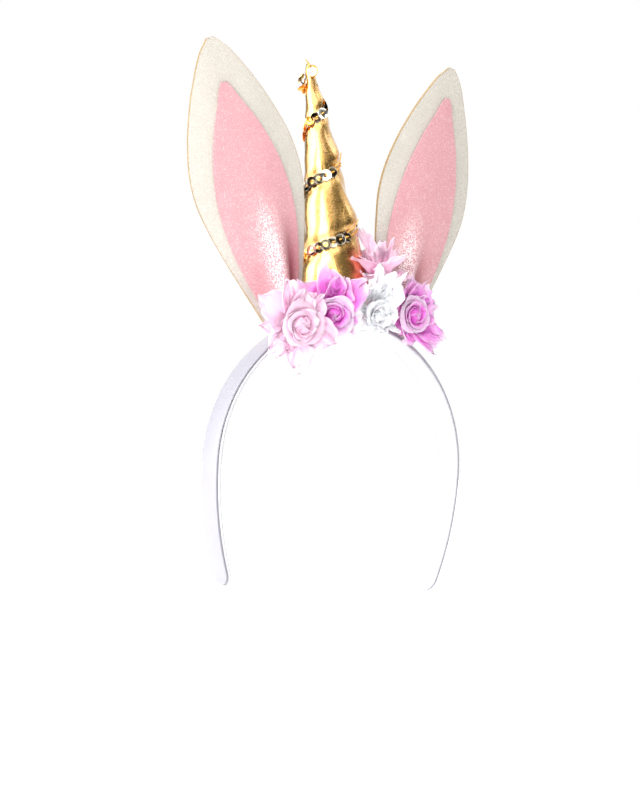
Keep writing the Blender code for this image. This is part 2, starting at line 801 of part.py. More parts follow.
def build_rose(rose, collection, clearances):
    """A rose: petals in two rings round a rolled bud, fused, and trimmed clear of its neighbours."""
    flower = build_bud(rose, collection)
    pieces = [build_stem(rose, collection)]
    for r, ring in enumerate(PETAL_RINGS):
        for number in range(ring["petals"]):
            pieces.append(build_petal(f"petal_{r}_{number}", rose, ring, number, collection))
    for piece in pieces:
        bake_modifiers(piece)
        add_boolean(flower, piece, "UNION", "MANIFOLD")
        bake_modifiers(flower)
        bpy.data.objects.remove(piece)
    for space in clearances:
        add_boolean(flower, space, "DIFFERENCE", "MANIFOLD")
        bake_modifiers(flower)
    for other in ROSES:
        if other is not rose:
            trim_to_own_side(flower, rose, other, collection)
    keep_largest_body(flower)
    flower.data.materials.append(material(rose["colour"]))
    smooth(flower, 30.0)


def main():
    clear_scene()
    parts = new_collection("unicorn_horn_headband")
    cutters = new_collection("cutters", hidden=True)
    seat = seat_cutter(cutters)
    build_band(parts)
    build_horn(parts, seat)
    build_sequin_string(parts)
    for ear in EARS:
        build_ear(ear, parts, seat)
    clearances = [seat, head_clearance(cutters), horn_clearance(cutters), string_clearance(cutters)]
    clearances += [ear_clearance(ear, cutters) for ear in EARS]
    for rose in ROSES:
        build_rose(rose, parts, clearances)
    for helper in cutters.objects:
        helper.hide_render = True
        helper.display_type = "WIRE"


main()
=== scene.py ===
"""The looks of a unicorn horn headband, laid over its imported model.

Lengths are in metres. The wearer faces -Y, Z is up, and the origin is the underside of the band's crown.
Right and left are the wearer's, so the right ear is on the viewer's left.
"""
import math
import random

import bpy
from mathutils import Matrix, Vector, noise


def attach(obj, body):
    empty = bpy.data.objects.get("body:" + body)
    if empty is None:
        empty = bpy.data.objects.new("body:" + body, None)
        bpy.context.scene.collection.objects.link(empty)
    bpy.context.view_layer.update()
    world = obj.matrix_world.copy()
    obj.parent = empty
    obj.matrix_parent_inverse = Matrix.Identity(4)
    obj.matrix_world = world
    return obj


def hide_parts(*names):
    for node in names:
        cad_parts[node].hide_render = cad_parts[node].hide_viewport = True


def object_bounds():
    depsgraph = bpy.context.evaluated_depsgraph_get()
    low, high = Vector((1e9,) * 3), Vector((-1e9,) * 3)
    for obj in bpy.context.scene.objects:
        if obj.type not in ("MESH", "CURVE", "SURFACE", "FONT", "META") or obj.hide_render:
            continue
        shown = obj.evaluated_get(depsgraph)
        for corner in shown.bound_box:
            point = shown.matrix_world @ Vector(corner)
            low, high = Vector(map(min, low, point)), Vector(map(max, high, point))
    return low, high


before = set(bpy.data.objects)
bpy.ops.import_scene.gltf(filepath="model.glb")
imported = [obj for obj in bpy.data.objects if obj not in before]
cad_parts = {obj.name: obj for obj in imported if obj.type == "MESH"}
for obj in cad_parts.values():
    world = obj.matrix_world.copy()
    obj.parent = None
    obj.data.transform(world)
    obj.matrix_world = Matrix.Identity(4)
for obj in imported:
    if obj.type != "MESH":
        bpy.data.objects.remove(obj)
cad_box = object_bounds()


def table(columns, rows):
    """Rows of values under the names of their columns."""
    return [dict(zip(columns.split(), row)) for row in rows]


# Gaps between pieces that touch.
SEAT_GAP = 0.0003
LAYER_GAP = 0.0004

# The band and the ribbon on its outer face.
BAND_INNER_RADIUS = 0.072
BAND_WIDTH = 0.0145
BAND_THICKNESS = 0.0013
BAND_CORNER = 0.00045
ARM_RADIUS = 0.157
ARM_LENGTH = 0.062
RIBBON_THICKNESS = 0.001
RIBBON_INSET = 0.0009
RIBBON_CORNER = 0.0003

BAND_OUTER_RADIUS = BAND_INNER_RADIUS + BAND_THICKNESS + LAYER_GAP + RIBBON_THICKNESS
BAND_CENTRE_Z = -BAND_INNER_RADIUS
CROWN_Z = BAND_OUTER_RADIUS - BAND_INNER_RADIUS

# The stuffed horn and the winding that draws it in.
HORN_HEIGHT = 0.1265
HORN_BASE_RADIUS = 0.0182
HORN_TIP_RADIUS = 0.0014
HORN_TAPER_POWER = 0.74
HORN_BASE_X = -0.0052
HORN_BASE_Y = 0.002
HORN_LEAN_RIGHT = 0.0130
HORN_LEAN_BACK = 0.0185
HORN_LEAN_START_SHARE = 0.6
HORN_COLUMNS = 96
HORN_ROWS = 168
WINDING_PHASE_DEG = -125.5
WINDING_TURNS = table("height turns", [
    (-0.0323, -2.0), (0.0017, -1.0), (0.0268, -0.25), (0.0357, 0.0), (0.0446, 0.25),
    (0.0692, 1.0), (0.0990, 2.0), (0.1210, 3.0), (0.1330, 3.7),
])
GROOVE_DEPTH = 0.001
GROOVE_DEPTH_MAX_SHARE = 0.25
GROOVE_FLAT_WIDTH = 0.0056
GROOVE_SHOULDER_WIDTH = 0.0130
HORN_SLACK = 0.0006
# The side to which the string pulls the cloth, up into a lip. A warm reflection is painted low there.
PULLED_SIDE = Vector((0.79, -0.61, 0.0))
SIDE_BULGE = 0.0015
LIP_RISE = 0.0012
GATHER_DEPTH = 0.0002
UNEVEN_DEPTH = 0.00015

# How the stuffing is blown into the horn's cloth, and how far the cloth may move from where it starts.
STUFFING = {
    "quality": 6, "mass": 0.3, "tension_stiffness": 15, "compression_stiffness": 4,
    "bending_stiffness": 0.2, "use_pressure": True, "uniform_pressure_force": 4.0,
    "vertex_group_mass": "held", "shrink_min": -0.04,
}
STUFFING_FRAMES = 20
STUFFING_LIMIT = 0.0009

# The string of sequins.
SEQUIN_RADIUS = 0.0028
SEQUIN_HOLE_RADIUS = 0.0005
SEQUIN_CUP_DEPTH = 0.0005
SEQUIN_SPACING = 0.00398
SEQUIN_TILT_DEG = 4.0
SEQUIN_LIFT = 0.0004
STRING_START_HEIGHT = 0.01234
STRING_SEAT_GAP = 0.0006
STRING_END_DROP = 0.0070
THREAD_RADIUS = 0.00032

# The felt ears and their pink inners.
EAR_LENGTH = 0.149
EAR_WIDTH = 0.0598
EAR_THICKNESS = 0.0016
EAR_INNER_THICKNESS = 0.0008
EAR_PLEAT_DEPTH = 0.0058
EAR_BOW = 0.0035
EAR_TIP_CURL = 0.003
EAR_TRIM_WIDTH = 0.0003
# How wide each layer is at the root beside the felt.
EAR_FOLD_REACH = {"felt": 1.0, "inner": 0.75}


# --- Shapes shared with the model -------------------------------------------------------------------


def smoothstep(low, high, value):
    t = min(max((value - low) / (high - low), 0.0), 1.0)
    return t * t * (3 - 2 * t)


def face_height(x):
    """The height of the ribbon's face at a distance to the side of the crown."""
    return BAND_CENTRE_Z + math.sqrt(BAND_OUTER_RADIUS**2 - x**2)


def horn_radius(height):
    share = max(1 - height / HORN_HEIGHT, 0.0)
    return HORN_TIP_RADIUS + (HORN_BASE_RADIUS - HORN_TIP_RADIUS) * share**HORN_TAPER_POWER


def horn_centre(height):
    share = height / HORN_HEIGHT
    lean = HORN_LEAN_START_SHARE * share + (1 - HORN_LEAN_START_SHARE) * share * abs(share)
    x = HORN_BASE_X - HORN_LEAN_RIGHT * lean
    return Vector((x, HORN_BASE_Y + HORN_LEAN_BACK * lean, CROWN_Z + height))


def outward_at(angle):
    """The level way out from the horn's axis at this angle."""
    return Vector((math.cos(angle), math.sin(angle), 0))


def round_horn(point):
    """(height over the crown, angle, way out from the axis) of a point of the horn."""
    height = point.z - CROWN_Z
    centre = horn_centre(height)
    x, y = point.x - centre.x, point.y - centre.y
    return height, math.atan2(y, x), Vector((x, y, 0)).normalized()


def side_bulge(height, angle):
    """How much fuller the cloth lies on the side to which the string pulls it."""
    pulled = smoothstep(0.50, 0.97, math.cos(angle) * PULLED_SIDE.x + math.sin(angle) * PULLED_SIDE.y)
    low = 1 - smoothstep(0.048, 0.066, height)
    return SIDE_BULGE * pulled * low


def groove_depth(height):
    return min(GROOVE_DEPTH, GROOVE_DEPTH_MAX_SHARE * horn_radius(height))


def read_smoothly(rows, key, value, at):
    """A table's value where its key is at this, on a curve that passes through every row."""
    for n, (low, high) in enumerate(zip(rows, rows[1:])):
        if at <= high[key] or n == len(rows) - 2:
            break
    before = rows[max(n - 1, 0)]
    after = rows[min(n + 2, len(rows) - 1)]
    span = high[key] - low[key]
    t = min(max((at - low[key]) / span, 0.0), 1.0)
    rise_low = (high[value] - before[value]) / (high[key] - before[key]) * span
    rise_high = (after[value] - low[value]) / (after[key] - low[key]) * span
    return (
        (2 * t**3 - 3 * t**2 + 1) * low[value]
        + (t**3 - 2 * t**2 + t) * rise_low
        + (3 * t**2 - 2 * t**3) * high[value]
        + (t**3 - t**2) * rise_high
    )


def turns_at(height):
    """How many turns the string has made at a height, counted from where row three faces the camera."""
    return read_smoothly(WINDING_TURNS, "height", "turns", height)


def winding_angle(height):
    """The angle round the horn at which the string passes this height."""
    return math.radians(WINDING_PHASE_DEG) + 2 * math.pi * turns_at(height)


def over_winding(height, angle):
    """How far a point of the horn is above the nearest turn of the string, negative below it."""
    turns = (winding_angle(height) - angle) / (2 * math.pi)
    pitch = 0.002 / (turns_at(height + 0.001) - turns_at(height - 0.001))
    return (turns - round(turns)) * pitch


# --- Hand tools -------------------------------------------------------------------------------------


def put_down():
    """Leaves edit mode and drops whatever is selected."""
    if bpy.context.object and bpy.context.object.mode != "OBJECT":
        bpy.ops.object.mode_set(mode="OBJECT")
    bpy.ops.object.select_all(action="DESELECT")


def take(obj):
    put_down()
    obj.select_set(True)
    bpy.context.view_layer.objects.active = obj
    return obj


def new_piece(name):
    """Names the primitive that was just added."""
    obj = bpy.context.object
    obj.name = name
    obj.data.name = name
    return obj


def copy_of(pattern):
    """A copy of a piece, with a mesh of its own."""
    copy = pattern.copy()
    copy.data = pattern.data.copy()
    bpy.context.collection.objects.link(copy)
    return copy


def pick(obj, kind, wanted):
    """Selects the vertices, edges or faces that pass a test, and enters edit mode with them."""
    take(obj)
    bpy.ops.object.mode_set(mode="EDIT")
    bpy.ops.mesh.select_mode(type=kind)
    bpy.ops.mesh.select_all(action="DESELECT")
    bpy.ops.object.mode_set(mode="OBJECT")
    parts = {"VERT": obj.data.vertices, "EDGE": obj.data.edges, "FACE": obj.data.polygons}[kind]
    for part in parts:
        part.select = wanted(part)
    bpy.ops.object.mode_set(mode="EDIT")


def finish_by(obj, kind, **settings):
    """Adds a modifier with these settings and applies it."""
    take(obj)
    modifier = obj.modifiers.new(kind.lower(), kind)
    for key, value in settings.items():
        setattr(modifier, key, value)
    bpy.ops.object.modifier_apply(modifier=modifier.name)


def smooth_over(obj, angle_deg=40.0):
    take(obj)
    bpy.ops.object.shade_smooth_by_angle(angle=math.radians(angle_deg))


def face_outward(obj):
    pick(obj, "FACE", lambda face: True)
    bpy.ops.mesh.select_all(action="SELECT")
    bpy.ops.mesh.remove_doubles(threshold=0.00001)
    bpy.ops.mesh.normals_make_consistent(inside=False)
    put_down()


def join_as(name, pieces):
    """Joins pieces into the first and gives it a name."""
    put_down()
    for piece in pieces:
        piece.select_set(True)
    bpy.context.view_layer.objects.active = pieces[0]
    bpy.ops.object.join()
    pieces[0].name = name
    pieces[0].data.name = name
    return pieces[0]


def settle(obj, node, materials):
    """Dresses a finished piece, hangs it on the root and hides its node's part."""
    for material in materials:
        obj.data.materials.append(material)
    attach(obj, "root")
    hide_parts(node)


# --- Materials --------------------------------------------------------------------------------------


def feed(tree, made, inputs):
    """Sets a node's inputs, by number or name, to values or to other nodes' sockets."""
    for key, value in inputs.items():
        if isinstance(value, bpy.types.NodeSocket):
            tree.links.new(value, made.inputs[key])
        else:
            made.inputs[key].default_value = value


def add_node(tree, kind, *numbered, **named):
    """Adds a node and fills its inputs, in their order or by name. Other names are its properties."""
    made = tree.nodes.new(kind)
    inputs = dict(enumerate(numbered))
    for key, value in named.items():
        if key in made.inputs:
            inputs[key] = value
        else:
            setattr(made, key, value)
    feed(tree, made, inputs)
    return made


def calc(tree, operation, *values, **settings):
    return add_node(tree, "ShaderNodeMath", *values, operation=operation, **settings).outputs[0]


def vector_calc(tree, operation, *values, **settings):
    return add_node(tree, "ShaderNodeVectorMath", *values, operation=operation, **settings).outputs[0]


def remap(tree, value, low, high, to_low=0.0, to_high=1.0, kind="LINEAR"):
    """A value carried from one range to another, and kept within it."""
    ends = (value, low, high, to_low, to_high)
    return add_node(tree, "ShaderNodeMapRange", *ends, interpolation_type=kind).outputs[0]


def object_place(tree):
    return add_node(tree, "ShaderNodeTexCoord").outputs["Object"]


def mottling(tree, scale, detail, **settings):
    """Noise that lies still on the object."""
    place = object_place(tree)
    made = add_node(tree, "ShaderNodeTexNoise", Vector=place, Scale=scale, Detail=detail, **settings)
    return made.outputs[0]


def painted(tree, name, output="Fac"):
    """What a piece carries under this name at each of its points."""
    return add_node(tree, "ShaderNodeAttribute", attribute_name=name).outputs[output]


def bumped(tree, height, strength, distance):
    return add_node(tree, "ShaderNodeBump", Strength=strength, Distance=distance, Height=height).outputs[0]


def blend_colours(tree, share, low, high):
    """Mixes two colours, each of them given or a socket, by a value."""
    mix = add_node(tree, "ShaderNodeMix", share, data_type="RGBA")
    sockets = [socket for socket in mix.inputs if socket.type == "RGBA"]
    for socket, colour in zip(sockets, (low, high)):
        if isinstance(colour, bpy.types.NodeSocket):
            tree.links.new(colour, socket)
        else:
            socket.default_value = (*colour, 1.0)
    return [socket for socket in mix.outputs if socket.type == "RGBA"][0]


def group(name, inputs, outputs):
    """A new node group with float inputs as {name: start value} and outputs as {name: socket type}."""
    tree = bpy.data.node_groups.new(name, "ShaderNodeTree")
    for key, value in inputs.items():
        socket = tree.interface.new_socket(key, in_out="INPUT", socket_type="NodeSocketFloat")
        socket.default_value = value
    for key, kind in outputs.items():
        tree.interface.new_socket(key, in_out="OUTPUT", socket_type=kind)
    return tree, tree.nodes.new("NodeGroupInput"), tree.nodes.new("NodeGroupOutput")


def glitter_flakes():
    """Flakes of glitter: each has its own shade and leans its own way."""
    tree, given, put = group(
        "glitter flakes",
        {"Flake Size": 0.0004, "Lean": 0.5},
        {"Shade": "NodeSocketFloat", "Spark": "NodeSocketFloat", "Normal": "NodeSocketVector"},
    )
    per_metre = calc(tree, "DIVIDE", 1.0, given.outputs["Flake Size"])
    flakes = add_node(
        tree, "ShaderNodeTexVoronoi", feature="F1", voronoi_dimensions="3D",
        Vector=object_place(tree), Scale=per_metre,
    ).outputs["Color"]
    centred = vector_calc(tree, "SUBTRACT", flakes, (0.5, 0.5, 0.5))
    leaning = vector_calc(tree, "SCALE", centred, Scale=given.outputs["Lean"])
    face = add_node(tree, "ShaderNodeNewGeometry").outputs["Normal"]
    parts = add_node(tree, "ShaderNodeSeparateColor", flakes)
    feed(tree, put, {
        "Shade": parts.outputs[0],
        "Spark": remap(tree, parts.outputs[1], 0.80, 0.97, kind="SMOOTHSTEP"),
        "Normal": vector_calc(tree, "NORMALIZE", vector_calc(tree, "ADD", face, leaning)),
    })
    return tree


def foil_grain():
    """The pebbled grain of foil cloth, as a height and as a mask of its creases, where shade is painted."""
    tree, given, put = group(
        "foil grain",
        {"Grain Size": 0.0006},
        {"Height": "NodeSocketFloat", "Creases": "NodeSocketFloat"},
    )
    per_metre = calc(tree, "DIVIDE", 1.0, given.outputs["Grain Size"])
    pebbles = add_node(
        tree, "ShaderNodeTexVoronoi", feature="DISTANCE_TO_EDGE", Vector=object_place(tree), Scale=per_metre
    ).outputs["Distance"]
    fine = mottling(tree, per_metre, 4.0, Roughness=0.65)
    feed(tree, put, {
        "Height": calc(tree, "MULTIPLY_ADD", pebbles, 0.8, fine),
        "Creases": remap(tree, pebbles, 0.0, 0.25, 1.0, 0.0),
    })
    return tree


def plain_weave():
    """Crossed threads that follow a piece's own UV map."""
    tree, given, put = group(
        "plain weave",
        {"Across Threads": 100.0, "Along Threads": 100.0},
        {"Height": "NodeSocketFloat"},
    )
    apart = add_node(tree, "ShaderNodeSeparateXYZ", add_node(tree, "ShaderNodeUVMap").outputs[0])
    waves = []
    for axis, threads in (("X", "Across Threads"), ("Y", "Along Threads")):
        count = calc(tree, "MULTIPLY", apart.outputs[axis], given.outputs[threads])
        waves.append(calc(tree, "SINE", calc(tree, "MULTIPLY", count, 2 * math.pi)))
    feed(tree, put, {"Height": calc(tree, "MULTIPLY", *waves)})
    return tree


GLITTER = glitter_flakes()
GRAIN = foil_grain()
WEAVE = plain_weave()


def new_material(name):
    material = bpy.data.materials.new(name)
    material.use_nodes = True
    tree = material.node_tree
    return material, tree, tree.nodes["Principled BSDF"]


def use_group(tree, shared, **values):
    made = tree.nodes.new("ShaderNodeGroup")
    made.node_tree = shared
    feed(tree, made, {key.replace("_", " "): value for key, value in values.items()})
    return made


def glitter_felt(name, dull, bright, spark, flake_size, lean, metallic):
    """Felt with glitter set in clear glue. On a fold's crest more flakes are painted bright, a painted
    highlight, and its valley is darkened with painted shade."""
    material, tree, skin = new_material(name)
    flakes = use_group(tree, GLITTER, Flake_Size=flake_size, Lean=lean)
    shade, glint = flakes.outputs["Shade"], flakes.outputs["Spark"]
    cloud = calc(tree, "MULTIPLY", mottling(tree, 90.0, 3.0), 0.3)
    ground = blend_colours(tree, calc(tree, "MULTIPLY_ADD", shade, 0.7, cloud), dull, bright)
    crest = painted(tree, "crest")
    # Painted highlight: more flakes are made bright on a fold's crest.
    painted_crest_glints = calc(tree, "MULTIPLY", crest, remap(tree, shade, 0.52, 0.78, kind="SMOOTHSTEP"))
    crest_glint_share = remap(tree, crest, 0.0, 1.0, 0.30, 1.0)
    lit = calc(tree, "MULTIPLY_ADD", glint, crest_glint_share, painted_crest_glints, use_clamp=True)
    colour = blend_colours(tree, lit, ground, spark)
    # Painted shade: the fold's valley is darkened towards a deeper colour.
    painted_valley_shade = calc(tree, "MULTIPLY", painted(tree, "fold"), 0.75)
    feed(tree, skin, {
        "Base Color": blend_colours(tree, painted_valley_shade, colour, [c * c * 1.3 for c in dull]),
        "Roughness": remap(tree, glint, 0.0, 1.0, 0.62, 0.28),
        "Metallic": remap(tree, glint, 0.0, 1.0, 0.0, metallic),
        "Normal": flakes.outputs["Normal"],
    })
    return material


def foil_cloth():
    """Pebbled gold foil cloth, with painted shade in its creases and a warm reflection painted low on one
    side.
    """
    material, tree, skin = new_material("gold foil cloth")
    grain = use_group(tree, GRAIN, Grain_Size=0.0007)
    wear = mottling(tree, 160.0, 5.0, Roughness=0.6)
    # The gold is darkened with painted shade in the grain's creases, and mottled by wear.
    tone = calc(tree, "MULTIPLY_ADD", grain.outputs["Creases"], 0.5, calc(tree, "MULTIPLY", wear, 0.45))
    gold = blend_colours(tree, tone, (0.92, 0.57, 0.18), (0.44, 0.215, 0.045))
    feed(tree, skin, {
        # Low on the pulled side the gold is mixed towards a painted warm reflection.
        "Base Color": blend_colours(tree, painted(tree, "blush"), gold, (0.86, 0.27, 0.10)),
        "Metallic": 1.0,
        "Roughness": remap(tree, wear, 0.0, 1.0, 0.20, 0.34),
        "Coat Weight": 1.0,
        "Coat Roughness": 0.2,
        "Coat IOR": 1.6,
        "Normal": bumped(tree, grain.outputs["Height"], 1.0, 0.0001),
    })
    return material


def sequin_film():
    """Shiny film, each disc with a painted reflection as its tone."""
    material, tree, skin = new_material("gold sequin film")
    feed(tree, skin, {
        "Base Color": painted(tree, "tone", "Color"),
        "Metallic": 0.95,
        "Roughness": remap(tree, mottling(tree, 1500.0, 3.0), 0.0, 1.0, 0.08, 0.22),
    })
    return material


def thread_gold():
    material, tree, skin = new_material("gold thread")
    twist = mottling(tree, 3000.0, 2.0)
    feed(tree, skin, {
        "Base Color": blend_colours(tree, twist, (0.70, 0.28, 0.04), (0.95, 0.60, 0.18)),
        "Metallic": 0.7,
        "Roughness": 0.35,
    })
    return material


def band_plastic():
    """Glossy white moulded plastic with a faint unevenness."""
    material, tree, skin = new_material("white band plastic")
    flow = mottling(tree, 240.0, 3.0)
    feed(tree, skin, {
        "Base Color": blend_colours(tree, flow, (0.40, 0.40, 0.42), (0.46, 0.46, 0.48)),
        "Roughness": remap(tree, flow, 0.0, 1.0, 0.14, 0.30),
        "Normal": bumped(tree, flow, 0.25, 0.0001),
    })
    return material


def ribbon_satin():
    """Pale lavender satin with fine cross ribs."""
    material, tree, skin = new_material("lavender satin")
    weave = use_group(tree, WEAVE, Across_Threads=46.0, Along_Threads=900.0)
    cloud = mottling(tree, 70.0, 4.0)
    feed(tree, skin, {
        "Base Color": blend_colours(tree, cloud, (0.27, 0.265, 0.30), (0.30, 0.295, 0.33)),
        "Roughness": 0.42,
        "Sheen Weight": 0.35,
        "Sheen Roughness": 0.4,
        "Normal": bumped(tree, weave.outputs["Height"], 0.3, 0.00006),
    })
    return material


def petal_cloth(name, deep, pale, edge):
    """Thin dyed cloth, deeper in colour towards the heart and paler at the cut edge."""
    material, tree, skin = new_material(name)
    weave = use_group(tree, WEAVE, Across_Threads=60.0, Along_Threads=60.0)
    dye = mottling(tree, 220.0, 5.0, Roughness=0.6)
    outward = calc(tree, "SUBTRACT", painted(tree, "outward"), 0.17)
    ramp = add_node(tree, "ShaderNodeValToRGB", calc(tree, "MULTIPLY_ADD", dye, 0.35, outward))
    stops = ramp.color_ramp.elements
    stops[0].position, stops[0].color = 0.12, (*deep, 1.0)
    stops[1].position, stops[1].color = 0.95, (*edge, 1.0)
    middle = stops.new(0.55)
    middle.color = (*pale, 1.0)
    crush = mottling(tree, 170.0, 3.0, noise_type="RIDGED_MULTIFRACTAL", Distortion=0.6)
    relief = calc(tree, "MULTIPLY_ADD", weave.outputs["Height"], 0.10, crush)
    feed(tree, skin, {
        "Base Color": ramp.outputs[0],
        "Roughness": 0.72,
        "Sheen Weight": 0.12,
        "Specular IOR Level": 0.3,
        "Subsurface Weight": 0.6,
        "Subsurface Radius": (0.003, 0.0022, 0.0026),
        "Subsurface Scale": 1.0,
        "Normal": bumped(tree, relief, 0.7, 0.0005),
    })
    return material


# --- The band and its ribbon ------------------------------------------------------------------------


def strip_along_arch(name, half_length, width, base, thickness, corner):
    """A strip of the band's curve between two heights over its underside, with half-round ends.

    The wearer's right half is spun from its cross-section at the crown, and then mirrored.
    """
    middle = base + thickness / 2
    put_down()
    bpy.ops.mesh.primitive_plane_add(size=1, location=(0, 0, middle), rotation=(0, math.pi / 2, 0))
    strip = new_piece(name)
    strip.scale = (thickness, width, 1)
    bpy.ops.object.transform_apply(location=True, rotation=True, scale=True)
    pick(strip, "VERT", lambda vertex: True)
    bpy.ops.mesh.bevel(affect="VERTICES", offset=corner, segments=3, profile=0.5)
    bpy.ops.mesh.select_all(action="SELECT")
    axis = (0, 1, 0)
    bpy.ops.mesh.spin(steps=64, angle=math.pi / 2, center=(0, 0, BAND_CENTRE_Z), axis=axis)
    arm_centre = Vector((ARM_RADIUS - BAND_INNER_RADIUS, 0, BAND_CENTRE_Z))
    straight = (half_length - BAND_INNER_RADIUS * math.pi / 2 - width / 2) / ARM_RADIUS
    bpy.ops.mesh.spin(steps=32, angle=straight, center=arm_centre, axis=axis)
    end_steps = 10
    gone = 0.0
    wide = 1.0
    for k in range(1, end_steps + 1):
        turn = math.pi / 2 * k / end_steps
        ahead = math.sin(turn) * width / 2 / ARM_RADIUS
        narrow = max(math.cos(turn), 0.04)
        bpy.ops.mesh.spin(steps=1, angle=ahead - gone, center=arm_centre, axis=axis)
        bpy.ops.transform.resize(value=(1, narrow / wide, 1))
        gone, wide = ahead, narrow
    pick(strip, "FACE", lambda face: all(abs(strip.data.vertices[v].co.x) < 1e-6 for v in face.vertices))
    bpy.ops.mesh.delete(type="ONLY_FACE")
    put_down()
    finish_by(strip, "MIRROR", use_axis=(True, False, False), merge_threshold=0.00002)
    face_outward(strip)
    layer = strip.data.uv_layers.new(name="strip")
    for loop in strip.data.loops:
        point = strip.data.vertices[loop.vertex_index].co
        around = math.atan2(point.x, point.z - BAND_CENTRE_Z)
        layer.data[loop.index].uv = (0.5 + point.y / BAND_WIDTH, around / math.pi)
    smooth_over(strip, 35)
    return strip


def make_band():
    half_length = BAND_INNER_RADIUS * math.pi / 2 + ARM_LENGTH
    band = strip_along_arch("headband", half_length, BAND_WIDTH, 0.0, BAND_THICKNESS, BAND_CORNER)
    settle(band, "band", [band_plastic()])
    ribbon = strip_along_arch(
        "headband_ribbon",
        half_length - RIBBON_INSET,
        BAND_WIDTH - 2 * RIBBON_INSET,
        BAND_THICKNESS + LAYER_GAP,
        RIBBON_THICKNESS,
        RIBBON_CORNER,
    )
    settle(ribbon, "ribbon", [ribbon_satin()])


# --- The horn ---------------------------------------------------------------------------------------


def horn_foot(angle):
    """The height over the crown at which the horn's side meets the band's curve."""
    return face_height(HORN_BASE_X + HORN_BASE_RADIUS * math.cos(angle)) + SEAT_GAP - CROWN_Z


def horn_side(height, angle):
    """How far the cloth starts from the horn's axis before it is stuffed."""
    away = abs(over_winding(height, angle))
    drawn = 1 - smoothstep(GROOVE_FLAT_WIDTH / 2, GROOVE_SHOULDER_WIDTH / 2, away)
    reach = horn_radius(height) if height > 0 else HORN_BASE_RADIUS
    return reach - HORN_SLACK * (1 - drawn) - groove_depth(height) * drawn


def horn_shell():
    """A cone of cloth with rows of vertices up its side, placed row by row."""
    put_down()
    bpy.ops.mesh.primitive_cylinder_add(
        vertices=HORN_COLUMNS, radius=1.0, depth=1.0, end_fill_type="NOTHING", location=(0, 0, 0.5)
    )
    horn = new_piece("stuffed_horn")
    bpy.ops.object.transform_apply(location=True)
    points = horn.data.vertices
    upright = lambda edge: abs(points[edge.vertices[0]].co.z - points[edge.vertices[1]].co.z) > 0.5
    pick(horn, "EDGE", upright)
    bpy.ops.mesh.subdivide(number_cuts=HORN_ROWS - 1)
    put_down()
    for vertex in horn.data.vertices:
        angle = math.atan2(vertex.co.y, vertex.co.x)
        foot = horn_foot(angle)
        height = foot + (HORN_HEIGHT - foot) * vertex.co.z
        vertex.co = horn_centre(height) + outward_at(angle) * horn_side(height, angle)
    return horn


def stuff_horn(horn):
    """Blows the cloth out between the turns of its winding, where it is held."""
    rest = [vertex.co.copy() for vertex in horn.data.vertices]
    held = horn.vertex_groups.new(name="held")
    for vertex in horn.data.vertices:
        height, angle, _ = round_horn(vertex.co)
        away = abs(over_winding(height, angle))
        grip = 1 - smoothstep(0.0016, 0.0034, away)
        foot = 1 - smoothstep(0.0, 0.004, height - horn_foot(angle))
        tip = smoothstep(HORN_HEIGHT - 0.010, HORN_HEIGHT - 0.004, height)
        held.add([vertex.index], max(grip, foot, tip), "REPLACE")
    take(horn)
    cloth = horn.modifiers.new("stuffing", "CLOTH")
    for key, value in STUFFING.items():
        setattr(cloth.settings, key, value)
    cloth.settings.effector_weights.gravity = 0
    for step in range(1, STUFFING_FRAMES + 1):
        bpy.context.scene.frame_set(step)
    bpy.ops.object.modifier_apply(modifier=cloth.name)
    bpy.context.scene.frame_set(1)
    for vertex, start in zip(horn.data.vertices, rest):
        moved = vertex.co - start
        if moved.length > STUFFING_LIMIT:
            vertex.co = start + moved * (STUFFING_LIMIT / moved.length)
    finish_by(horn, "SMOOTH", factor=0.5, iterations=16, vertex_group="held", invert_vertex_group=True)


def soften_horn(horn):
    """Small folds that a hand-stuffed cone keeps, and a lip of cloth over each row of sequins."""
    # A warm reflection is painted into the foil low on the pulled side.
    blush = horn.data.attributes.new("blush", "FLOAT", "POINT")
    for vertex in horn.data.vertices:
        height, angle, side = round_horn(vertex.co)
        facing = side.dot(PULLED_SIDE)
        low = 1 - smoothstep(0.030, 0.038, height)
        blush.data[vertex.index].value = smoothstep(0.50, 0.72, facing) * low
        pulled = 0.15 + 0.85 * smoothstep(0.4, 0.9, facing)
        over = over_winding(height, angle)
        lip = smoothstep(0.0020, 0.0052, over) * (1 - smoothstep(0.0052, 0.0170, over))
        gather = 0.5 + 0.5 * math.sin(angle * 23 + 4 * noise.noise(vertex.co * 120))
        spread = math.exp(-((over / 0.006) ** 2)) * (1 - math.exp(-((over / 0.0022) ** 2)))
        uneven = noise.noise(Vector((vertex.co.x * 90, vertex.co.y * 90, vertex.co.z * 55)))
        room = min(1.0, horn_radius(height) / 0.008)
        above_foot = smoothstep(0.0, 0.005, height - horn_foot(angle))
        push = side_bulge(height, angle) * above_foot
        push += room * (LIP_RISE * pulled * lip - GATHER_DEPTH * gather * spread + UNEVEN_DEPTH * uneven)
        vertex.co += side * push


def close_horn(horn):
    """Closes the foot over the stuffing and rounds off the tip."""
    for low in (True, False):
        points = horn.data.vertices
        uses = {}
        for face in horn.data.polygons:
            for key in face.edge_keys:
                uses[key] = uses.get(key, 0) + 1
        edge_of = {v for key, count in uses.items() if count == 1 for v in key}
        chosen = {v for v in edge_of if (points[v].co.z < 0.06) == low}
        pick(horn, "VERT", lambda vertex: vertex.index in chosen)
        shrink = (0.9, 0.5) if low else (0.75, 0.35)
        for share in shrink:
            bpy.ops.mesh.extrude_region_move(
                TRANSFORM_OT_translate={"value": (0, 0, 0 if low else 0.0005)}
            )
            bpy.ops.transform.resize(value=(share, share, 1))
        bpy.ops.mesh.merge(type="CENTER")
        put_down()
    face_outward(horn)


def make_horn():
    horn = horn_shell()
    stuff_horn(horn)
    soften_horn(horn)
    close_horn(horn)
    smooth_over(horn, 60)
    settle(horn, "horn", [foil_cloth()])
